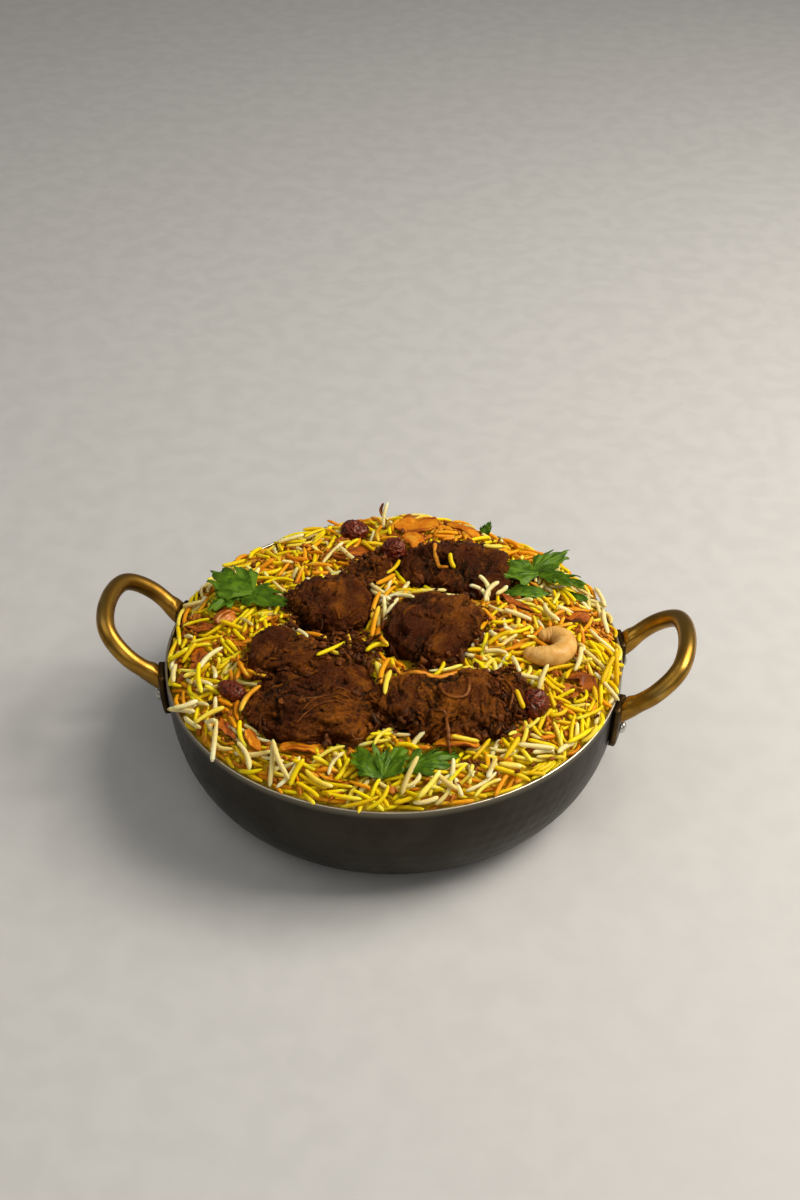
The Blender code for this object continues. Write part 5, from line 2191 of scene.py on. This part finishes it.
CARROTS = (
    Strip("carrot_front_right", ((24, -67, 2.3), (33, -66.5, 3.1), (42, -65, 2.3)), 6.0, 1.6),
    Strip("carrot_front_left", ((-38, -75, 1.7), (-29, -73.5, 2.5), (-20, -75, 1.9)), 6.5, 1.6),
    Strip("carrot_back", ((-8, 77, 1.8), (2, 79, 2.8), (12, 82, 3.8)), 12.0, 1.6, 12.0),
    Strip("carrot_inner", ((-3, 70, 2.1), (3, 65, 2.9), (6, 58, 3.7)), 9.0, 1.5),
    Strip("carrot_back_right", ((16, 85, 1.7), (25, 82, 2.5), (33, 77, 1.7)), 5.0, 1.5),
    Strip("carrot_left", ((-63, -27, 2.1), (-60, -32, 2.7), (-57, -36, 2.3)), 5.0, 1.4),
    Strip("carrot_corner", ((-53, -66, 2.1), (-50, -71, 2.9), (-46, -76, 2.1)), 5.0, 1.4),
)
ONIONS = (
    Strip("onion_rim_left", ((-93, 2, 1.5), (-87, -1, 2.3), (-79, -2, 1.5)), 5.0, 1.1, 30.0, 0.3, 0.5),
    Strip("onion_left", ((-84, -14, 1.5), (-82, -22, 2.5), (-84, -30, 1.5)), 5.5, 1.1, 0.0, 0.3, 0.5),
    Strip("onion_back_left", ((-34, 52, 1.9), (-26, 55, 2.9), (-17, 60, 2.1)), 7.0, 1.3, 0.0, 0.3, 0.5),
    Strip("onion_corner", ((-65, -58, 2.1), (-63, -65, 2.9), (-57, -70, 2.3)), 4.5, 1.1, 25.0, 0.3, 0.5),
    Strip("onion_right", ((75, -21, 1.7), (82, -19, 2.9), (88, -24, 1.7)), 6.0, 1.2, 20.0, 0.3, 0.5),
    Strip("onion_back_right", ((70, 20, 1.7), (77, 23, 2.7), (85, 26, 1.7)), 6.0, 1.2, 15.0, 0.3, 0.5),
    Strip("onion_inner_right", ((45, 30, 2.3), (52, 26, 2.7), (60, 22, 1.9)), 3.6, 1.1, 0.0, 0.2, 0.3),
    Strip("onion_sliver", ((-13, 86, 1.5), (-16, 88, 6.7), (-15, 89, 11.7)), 1.8, 0.9, 0.0, 0.2),
)
SPRIGS = (
    Sprig("coriander_left", (
        Leaflet(-65, 19, 3.4, 152, 25, 24, 6, seed=0.3),
        Leaflet(-73, 22, 3.4, -22, 27, 17, 4, seed=1.1),
        Leaflet(-72, 26, 3.0, -118, 24, 14, 2, seed=2.4),
    )),
    Sprig("coriander_right", (
        Leaflet(62, 49, 3.4, 182, 25, 20, 4, seed=0.8),
        Leaflet(58, 51, 3.2, 42, 22, 14, 6, seed=1.7),
        Leaflet(60, 49, 3.2, -20, 25, 10, 2, seed=2.9),
    ), 3.0),
    Sprig("coriander_right_low", (Leaflet(67, 37, 1.8, 186, 25, 11, 0, seed=3.3),)),
    Sprig("coriander_front_left", (
        Leaflet(6, -87, 2.6, 134, 20, 17, 4, fold=5.0, seed=4.1),
        Leaflet(5, -87, 2.6, 64, 18, 14, 10, fold=5.0, seed=4.9),
    )),
    Sprig("coriander_front_right", (Leaflet(13, -82, 2.2, 30, 24, 15, 2, seed=5.5),)),
    Sprig("coriander_chip_right", (Leaflet(84, 40, 2.8, 166, 13, 6, 0, 0.8, seed=6.2),)),
    Sprig("coriander_chip_back", (Leaflet(33, 83, 1.6, 60, 8, 6, 30, 0.4, seed=7.1),)),
)
RICE_MIX = RiceMix((
    DyeRegion(50, 14, 13, Dye.MASALA, 1.2), DyeRegion(0, -20, 10, Dye.MASALA, 1.6),
    DyeRegion(-24, -11, 9, Dye.MASALA, 5.0), DyeRegion(-13, -17, 7, Dye.MASALA, 3.0),
    DyeRegion(20, 80, 12, Dye.MASALA, 1.0), DyeRegion(-38, 58, 12, Dye.MASALA, 0.8),
    DyeRegion(8, -36, 8, Dye.MASALA, 2.0), DyeRegion(55, -42, 8, Dye.MASALA, 1.6),
    # More yellow and masala grains at the back make the back of the heap darker.
    DyeRegion(0, 84, 34, Dye.YELLOW, 1.0), DyeRegion(0, 84, 34, Dye.MASALA, 0.6),
    DyeRegion(-55, -50, 9, Dye.MASALA, 0.6), DyeRegion(-25, -75, 9, Dye.MASALA, 0.6),
    DyeRegion(-2, 20, 10, Dye.MASALA, 0.8), DyeRegion(0, 64, 12, Dye.MASALA, 0.8),
    DyeRegion(-3, 24, 6, Dye.WHITE, 1.6), DyeRegion(90, -6, 13, Dye.YELLOW, 4.0),
    DyeRegion(78, -38, 20, Dye.YELLOW, 1.2), DyeRegion(86, 46, 9, Dye.WHITE, 3.0),
    DyeRegion(-82, -22, 18, Dye.YELLOW, 0.8), DyeRegion(-68, -52, 12, Dye.WHITE, 1.0),
    DyeRegion(-62, 40, 16, Dye.YELLOW, 0.9), DyeRegion(-30, 82, 14, Dye.YELLOW, 1.2),
    DyeRegion(40, -84, 20, Dye.WHITE, 0.6), DyeRegion(0, -94, 16, Dye.YELLOW, 1.0),
    DyeRegion(-45, -85, 14, Dye.WHITE, 0.5), DyeRegion(62, -58, 16, Dye.PALE, 0.8),
))
CARROT_SHRED = Stick("carrot_shreds", "carrot", (6.0, 14.0), (0.8, 1.5), 0.5, 1.2, 0.12, 5.0, 8, 9, 0.5)
ONION_BIT = Stick("onion_bits", "fried_onion", (4.0, 11.0), (0.9, 2.0), 0.35, 1.0, 0.25, 4.0, 8, 9, 0.6)
CRUMB = Stick("masala_crumbs", "fried_onion", (1.4, 3.4), (0.5, 1.1), 0.75, 0.3, 0.3, 3.0, 6, 5, 1.0)
FLECK = Stick("dark_flecks", "raisin", (0.9, 2.4), (0.25, 0.5), 0.6, 0.1, 0.25, 3.0, 5, 5, 1.0)
SHRED_REGIONS = ((-55, -64, 22), (-30, -84, 16), (52, 16, 14), (15, 82, 20), (-70, -10, 16), (70, -78, 14),
                 (90, 22, 8), (-60, 48, 14))
MEAT_BIT = Stick("meat_bits", "meat", (1.8, 6.5), (0.5, 1.4), 0.55, 0.7, 0.42, 2.2, 8, 7, 1.0)
MEAT_BIT_REGIONS = ((-24, -11, 7), (-14, -17, 6), (-30, -13, 5), (54, -42, 6), (6, 52, 6), (-42, -34, 5))
ONION_STRANDS = (
    Strand(((13, 54), (13.3, 49), (14.7, 45), (17, 41), (20.5, 40)), 1.1),
    Strand(((47, 23), (51, 23), (55, 20), (59, 15)), 1.5),
    Strand(((-36, 56), (-30, 53), (-24, 48), (-18, 42)), 0.6),
    Strand(((2, -27), (7, -32), (13, -35), (19, -34), (25, -30), (30, -26)), 1.15),
)
MEAT_THREADS = (
    Strand(((25, -39), (24, -45), (27, -51), (31, -52), (35, -50), (36, -45), (35, -40), (31, -39)), 0.8),
    Strand(((23, -57), (27, -58), (29, -63), (30, -69), (32, -73)), 0.75),
    Strand(((35, -71), (39, -74), (42, -76)), 0.55),
    Strand(((-32, -59), (-27, -53), (-19, -50), (-12, -51)), 0.3),
    Strand(((-31, -63), (-26, -57), (-19, -54), (-11, -55)), 0.28),
    Strand(((-32, -68), (-27, -62), (-18, -58), (-12, -60)), 0.34),
    Strand(((50, -30), (54, -38), (53, -48)), 0.7),
    Strand(((-8, 44), (-14, 46), (-18, 40)), 0.8),
)
ACCENTS = (
    # dye, x, y, heading, length, tilt
    (Dye.WHITE, ((-8, 20, -44, 14, 0), (1, 17, -14, 13, 0), (-5, 9, -80, 13, 0), (-10, 24, -43, 10, 0),
                 (-15, -77, -79, 7, 65), (37, 30, -50, 8, 0), (45, 31, 60, 9, 0), (35, 27, -35, 11, 0),
                 (41, 27, 63, 12, 0), (-91, 23, -62, 17, 35), (-94, 27, 82, 13, 30), (-93, 17, 5, 9, 0),
                 (-76, -24, -118, 16, 0), (-91, -30, -82, 13, 0), (-86, -54, 158, 14, 0), (-82, -51, 21, 11, 0),
                 (-66, -73, -89, 15, 0), (-68, -66, -54, 10, 0), (-40, -83, -87, 16, 0), (-36, -83, -58, 16, 0),
                 (61, -25, -6, 12, 0), (66, -26, 74, 12, 0), (68, 22, -62, 15, 0), (54, -19, -72, 12, 0),
                 (53, 16, -15, 13, 0), (44, 0, -52, 9, 0), (80, -11, 81, 14, 0), (92, 25, -81, 16, 0),
                 (89, 44, -74, 16, 0), (65, -62, 6, 15, 0), (48, -77, -109, 9, 0), (31, -86, -30, 10, 0),
                 (77, -59, 57, 12, 0), (-12, 80, -74, 15, 55), (-14, 81, 80, 13, 60), (-26, 52, -47, 17, 0),
                 (47, 86, -71, 12, 55), (-57, 70, 20, 13, 0), (16, -86, 70, 15, 0), (-52, -80, -60, 14, 0))),
    (Dye.PALE, ((-3, -31, -72, 12, 0), (2, -40, -92, 17, 0), (39, 61, 8, 9, 0), (-70, -58, 40, 14, 0),
                (24, -90, 60, 15, 0), (-20, -88, -30, 14, 0))),
    (Dye.YELLOW, ((-5, -18, 33, 11, 0), (3, -28, -71, 10, 0), (-1, -65, -83, 13, 70), (22, 42, -68, 7, 0),
                  (-78, -37, -76, 15, 0), (-29, -87, 63, 10, 0), (-92, -19, 21, 9, 0), (-87, -19, 63, 10, 0),
                  (57, -43, -62, 8, 0), (46, -4, 33, 11, 0), (55, -65, 64, 12, 0), (82, -52, 50, 14, 0),
                  (96, -2, 75, 14, 0), (97, -9, 95, 13, 0), (93, -14, 70, 14, 0))),
    (Dye.MASALA, ((-9, 11, 84, 16, 0), (-8, 0, -93, 19, 0), (-5, -4, 81, 11, 0), (-3, -14, -65, 12, 0),
                  (0, -33, -97, 16, 0), (7, -66, -81, 9, 60), (-7, 30, 60, 14, 0))),
)
ONION_REGIONS = ((-82, -24, 12), (80, 22, 12), (80, -22, 10), (60, -50, 10), (-50, 30, 12), (-30, 56, 14),
                 (-62, -66, 12), (-88, 4, 8), (0, 80, 18), (26, 80, 12), (-46, 62, 12), (-30, -78, 12),
                 (40, 18, 10), (66, -40, 12), (20, -84, 16))
# Brass: tarnish clouds, and a brightest colour that is the painted highlight on the loops' outer edges.
BRASS_FINISH = MetalFinish("brass_worn_and_highlit", tint(174, 130, 50), tint(108, 76, 24), tint(232, 200, 124),
                           0.8, 0.26, 0.46)
# Feet: brass darkened as painted shade, since the plates sit in shade.
SHADED_FOOT_FINISH = MetalFinish("foot_brass_painted_shade", tint(92, 70, 38), tint(54, 40, 24), tint(150, 120, 70), 0.9, 0.35, 0.55)
RIVET_FINISH = MetalFinish("rivet_steel", tint(196, 192, 184), tint(140, 134, 124), tint(235, 232, 225),
                           0.6, 0.25, 0.42)
RICE_FINISHES = {
    Dye.WHITE: RiceFinish("rice_white", tint(208, 186, 106), tint(230, 216, 158), tint(236, 224, 182), 0.7),
    Dye.PALE: RiceFinish("rice_pale", tint(226, 196, 50), tint(236, 214, 92), tint(240, 226, 150), 0.55),
    Dye.YELLOW: RiceFinish("rice_yellow", tint(212, 172, 1), tint(236, 210, 4), tint(238, 218, 60), 0.7),
    Dye.MASALA: RiceFinish("rice_masala", tint(206, 124, 6), tint(232, 162, 14), tint(234, 186, 50), 0.6),
}
# Packed rice: its third colour is painted shade in hollows, its fourth a painted highlight on crests.
CORE_FINISH = MottledFinish("packed_rice", tint(230, 184, 10), tint(240, 206, 24), tint(190, 126, 6),
                            tint(244, 216, 70), 400.0, 0.5, 0.7, 0.4, 0.0, 0.3)
BIT_FINISHES = {
    CARROT_SHRED.name: MottledFinish("carrot_shred", tint(204, 120, 8), tint(226, 154, 22), tint(150, 72, 4),
                                     tint(240, 190, 66), 320.0, 0.4, 0.6, 0.2, 0.1, 0.15),
    ONION_BIT.name: MottledFinish("onion_bit", tint(132, 66, 12), tint(172, 94, 16), tint(68, 28, 6),
                                  tint(204, 130, 40), 380.0, 0.36, 0.56, 0.2, 0.12, 0.05),
    CRUMB.name: MottledFinish("masala_crumb", tint(160, 86, 14), tint(200, 122, 22), tint(80, 34, 8),
                              tint(224, 156, 50), 500.0, 0.4, 0.6, 0.2, 0.1, 0.05),
    MEAT_BIT.name: MottledFinish("meat_crumb", tint(62, 22, 3), tint(104, 50, 6), tint(26, 9, 2),
                                 tint(156, 88, 20), 420.0, 0.4, 0.6, 0.3, 0.05),
    FLECK.name: MottledFinish("dark_fleck", tint(42, 24, 12), tint(64, 36, 14), tint(20, 12, 6),
                              tint(96, 58, 24), 600.0, 0.4, 0.6, 0.1, 0.1),
}
CURL_FINISH = MottledFinish("onion_curl", tint(196, 118, 14), tint(220, 150, 40), tint(130, 62, 8),
                            tint(238, 184, 84), 380.0, 0.32, 0.5, 0.1, 0.15, 0.1)
THREAD_FINISH = MottledFinish("meat_thread", tint(92, 42, 6), tint(126, 70, 14), tint(44, 18, 4),
                              tint(168, 108, 36), 400.0, 0.38, 0.58, 0.1, 0.1)
# Raisin, cashew, carrot and onion: third colour painted shade in hollows, fourth painted highlight on crests;
# the nut's follow its streaks.
RAISIN_FINISH = MottledFinish("raisin_skin", tint(62, 15, 7), tint(90, 26, 10), tint(20, 5, 3),
                              tint(140, 58, 30), 300.0, 0.2, 0.45, 0.15, 0.3, 0.05)
CASHEW_FINISH = MottledFinish("fried_cashew", tint(204, 152, 74), tint(222, 176, 100), tint(172, 116, 46),
                              tint(240, 210, 144), 220.0, 0.34, 0.5, 0.08, 0.15, 0.15, (1.0, 0.9, 0.72, 1.0))
NUT_FINISH = MottledFinish("stained_nut", tint(170, 88, 18), tint(196, 118, 38), tint(128, 58, 10),
                           tint(240, 198, 132), 260.0, 0.35, 0.55, 0.15, 0.2, 0.1)
CARROT_FINISH = MottledFinish("carrot_flesh", tint(196, 108, 6), tint(218, 142, 16), tint(146, 66, 2),
                              tint(238, 180, 56), 320.0, 0.4, 0.6, 0.25, 0.1, 0.15)
ONION_FINISH = MottledFinish("fried_onion", tint(136, 62, 6), tint(178, 92, 10), tint(70, 26, 4),
                             tint(216, 136, 30), 380.0, 0.36, 0.56, 0.25, 0.12, 0.05)
LEAF_FINISH = LeafFinish("coriander_leaf", tint(46, 76, 1), tint(80, 111, 4), tint(122, 146, 34))


@dataclass(frozen=True)
class Dish:
    """The whole serving: pan, handles, rice and everything on it."""

    shape: PanShape = PanShape()
    seed: int = 7

    BIT_SEEDS = 10  # added to the seed for the first kind of bit
    # Most grains, how far under its top the heap has to be, and how far they may stand above it
    LOW_FILL = (1700, 2.4, 1.2)
    MIDDLE_FILL = (1500, 1.2, 2.2)
    TOP_FILL = (900, 0.3, 3.4)
    STANDING_TRIES = 2400
    STANDING_PROUD = 5.5
    IN_REGION = 0.75  # share of the bits that lie in their regions
    MEAT_IN_REGION = 0.97
    FRINGE_BITS = 34  # laid against each chunk
    FRINGE_TRIES = 2500
    FRINGE_BAND = 1.2  # height of the chunk's foot, above and below the rice
    FRINGE_MEAT = 0.75  # share of the bits that are meat
    FRINGE_PROUD = 7.0

    def _metalwork(self) -> None:
        """Pan, handles and rivets."""
        Pan(self.shape).build()
        brass, foot, steel = (finish.material() for finish in (BRASS_FINISH, SHADED_FOOT_FINISH, RIVET_FINISH))
        for side in ("right", "left"):
            Handle(self.shape, side).build(brass, foot, steel)

    def _meat(self) -> list:
        """Meat chunks and the fibres that cling to them."""
        material = MeatFinish().material()
        chunks = {spec.node: spec.build(material) for spec in MEATS}
        MeatStrands(STRAND_COUNTS).build(chunks, {spec.node: spec for spec in MEATS}, material)
        return list(chunks.values())

    def _toppings(self, dome: RiceDome) -> tuple[list, list]:
        """Raisins, nuts, strips and leaves.

        Args:
            dome: Form of the rice's top.

        Returns:
            The pieces that stay clear, and the strips that a few grains lie across.
        """
        finishes = (RAISIN_FINISH, CASHEW_FINISH, NUT_FINISH, CARROT_FINISH, ONION_FINISH, LEAF_FINISH)
        raisin, cashew, nut, carrot, onion, leaf = (finish.material() for finish in finishes)
        covers = [spec.build(raisin) for spec in RAISINS]
        covers += [StainedNut().build(nut), Cashew().build(dome, cashew)]
        covers += [spec.build(dome, leaf) for spec in SPRIGS]
        strips = [spec.build(dome, carrot, "carrot") for spec in CARROTS]
        strips += [spec.build(dome, onion, "fried_onion") for spec in ONIONS]
        return covers, strips

    def _scatter(self, heap: Heap, stick: Stick, count: int, regions: tuple, proud: float) -> None:
        """Lay bits of one kind, most of them within their regions.

        Args:
            heap: The heap.
            stick: Kind of the bits.
            count: How many.
            regions: Middle and spread of each region; none for all over the heap.
            proud: How far they may stand above the rice's top.
        """
        done = 0
        in_region = self.MEAT_IN_REGION if stick is MEAT_BIT else self.IN_REGION
        for _ in range(6 * count):
            if done == count:
                break
            if regions and heap.random.random() < in_region:
                x, y, spread = regions[heap.random.integers(len(regions))]
                x, y = x + heap.random.normal(0, spread * 0.6), y + heap.random.normal(0, spread * 0.6)
            else:
                x, y = heap.somewhere()
            if math.hypot(x, y) < Heap.EDGE:
                done += heap.try_rest(stick, x, y, heap.random.uniform(0, math.tau), proud)

    def _fringe(self, heap: Heap, dome: RiceDome, chunks: list, grain: StickChoice) -> None:
        """Lay torn bits and a few grains against the foot of each chunk.

        Args:
            heap: The heap.
            dome: Form of the rice's top.
            chunks: The chunks.
            grain: Function of x and y that gives the kind of grain.
        """
        for chunk in chunks:
            places = points_of(chunk.data)[0]
            middle = places[:, :2].mean(axis=0)
            left = self.FRINGE_BITS
            for spot in heap.random.choice(len(places), self.FRINGE_TRIES):
                x, y, z = places[spot]
                if abs(z - dome.height(x, y)) > self.FRINGE_BAND:
                    continue
                away = math.hypot(x - middle[0], y - middle[1])
                further = 1.0 + heap.random.uniform(-0.5, 2.2) / away
                x, y = middle + (np.array([x, y]) - middle) * further
                stick = MEAT_BIT if heap.random.random() < self.FRINGE_MEAT else grain(x, y)
                left -= heap.try_rest(stick, x, y, heap.random.uniform(0.0, math.tau), self.FRINGE_PROUD)
                if left == 0:
                    break

    def _stand(self, heap: Heap, dome: RiceDome, grain: StickChoice) -> int:
        """Stand grains in the heap with one end buried.

        Args:
            heap: The heap.
            dome: Form of the rice's top.
            grain: Function of x and y that gives the kind of grain.

        Returns:
            How many found room.
        """
        planted = 0
        for _ in range(self.STANDING_TRIES):
            x, y = heap.somewhere()
            if heap.terrain.height(x, y) > dome.height(x, y) + 1.5:
                continue
            tilt = math.radians(heap.random.uniform(12.0, 62.0 if y > 50.0 else 46.0))
            stick, way = grain(x, y), heap.random.uniform(0, math.tau)
            planted += heap.plant(stick, x, y, way, tilt, self.STANDING_PROUD)
        return planted

    def _rice(self, dome: RiceDome, chunks: list, covers: list, strips: list) -> None:
        """Core, grains and the small bits among them.

        Args:
            dome: Form of the rice's top.
            chunks: Pieces that grains lean on.
            covers: Pieces that grains lie under.
            strips: Pieces that most grains lie under and a few lie across.
        """
        core = RiceCore(dome)
        core.build(CORE_FINISH.material())
        terrain = Terrain(dome, core.depth)
        terrain.add_pieces(chunks, False)
        terrain.add_pieces(covers + strips, True)
        heap = Heap(terrain, self.seed)

        def grain(x: float, y: float) -> Stick:
            """Kind of grain at a place."""
            return GRAIN_STICKS[RICE_MIX.choose(x, y, heap.random)]

        def low_grain_for_warm_shade(x: float, y: float) -> Stick:
            """Kind of grain at a place deep in the heap, where most are dyed; their masala and yellow also show
            between the top grains as painted warm shade.
            """
            dye = RICE_MIX.choose(x, y, heap.random)
            deep = {Dye.WHITE: Dye.MASALA, Dye.PALE: Dye.YELLOW}
            return GRAIN_STICKS[deep.get(dye, dye)]

        laid = heap.fill(*self.LOW_FILL, low_grain_for_warm_shade)
        self._scatter(heap, CARROT_SHRED, 90, SHRED_REGIONS, 2.0)
        self._scatter(heap, ONION_BIT, 100, ONION_REGIONS, 2.0)
        laid += heap.fill(*self.MIDDLE_FILL, grain)
        terrain.clear_ceiling()
        terrain.add_pieces(covers, True)
        terrain.add_pieces(strips, False)
        heap.cross(strips, 5, 4.5, grain)
        self._scatter(heap, MEAT_BIT, 170, MEAT_BIT_REGIONS, 4.0)
        laid += heap.fill(*self.TOP_FILL, grain)
        planted = self._stand(heap, dome, grain)
        for dye, grains in ACCENTS:
            for x, y, heading, length, tilt in grains:
                heap.lay(GRAIN_STICKS[dye], x, y, heading, length, tilt)
        heap.cross(chunks, 14, 11.0, lambda x, y: MEAT_BIT)
        self._fringe(heap, dome, chunks, grain)
        self._scatter(heap, MEAT_BIT, 60, MEAT_BIT_REGIONS, 6.0)
        self._scatter(heap, CRUMB, 330, SHRED_REGIONS + ONION_REGIONS, 3.0)
        self._scatter(heap, FLECK, 60, (), 3.0)
        LOG.info("rice: %d grains resting, %d standing", laid, planted)
        self._laid_pieces(heap)

    def _laid_pieces(self, heap: Heap) -> None:
        """Build what was laid in the heap, one piece for each kind, and the strands over it."""
        for number, (dye, finish) in enumerate(RICE_FINISHES.items()):
            heap.build(GRAIN_STICKS[dye].name, finish.material(), self.seed + number)
        for number, (name, finish) in enumerate(BIT_FINISHES.items()):
            heap.build(name, finish.material(), self.seed + self.BIT_SEEDS + number)
        strand_piece("onion_strands", ONION_STRANDS, heap.terrain, CURL_FINISH.material(), "fried_onion")
        strand_piece("meat_threads", MEAT_THREADS, heap.terrain, THREAD_FINISH.material(), "meat")

    def build(self) -> None:
        """Build the dish."""
        self._metalwork()
        dome = RiceDome(self.shape)
        chunks = self._meat()
        covers, strips = self._toppings(dome)
        self._rice(dome, chunks, covers, strips)


def main() -> None:
    """Set the stage, build the dish and note its size."""
    logging.basicConfig(level=logging.INFO, format="%(message)s")
    Studio().build()
    Dish().build()


if __name__ == "__main__":
    main()
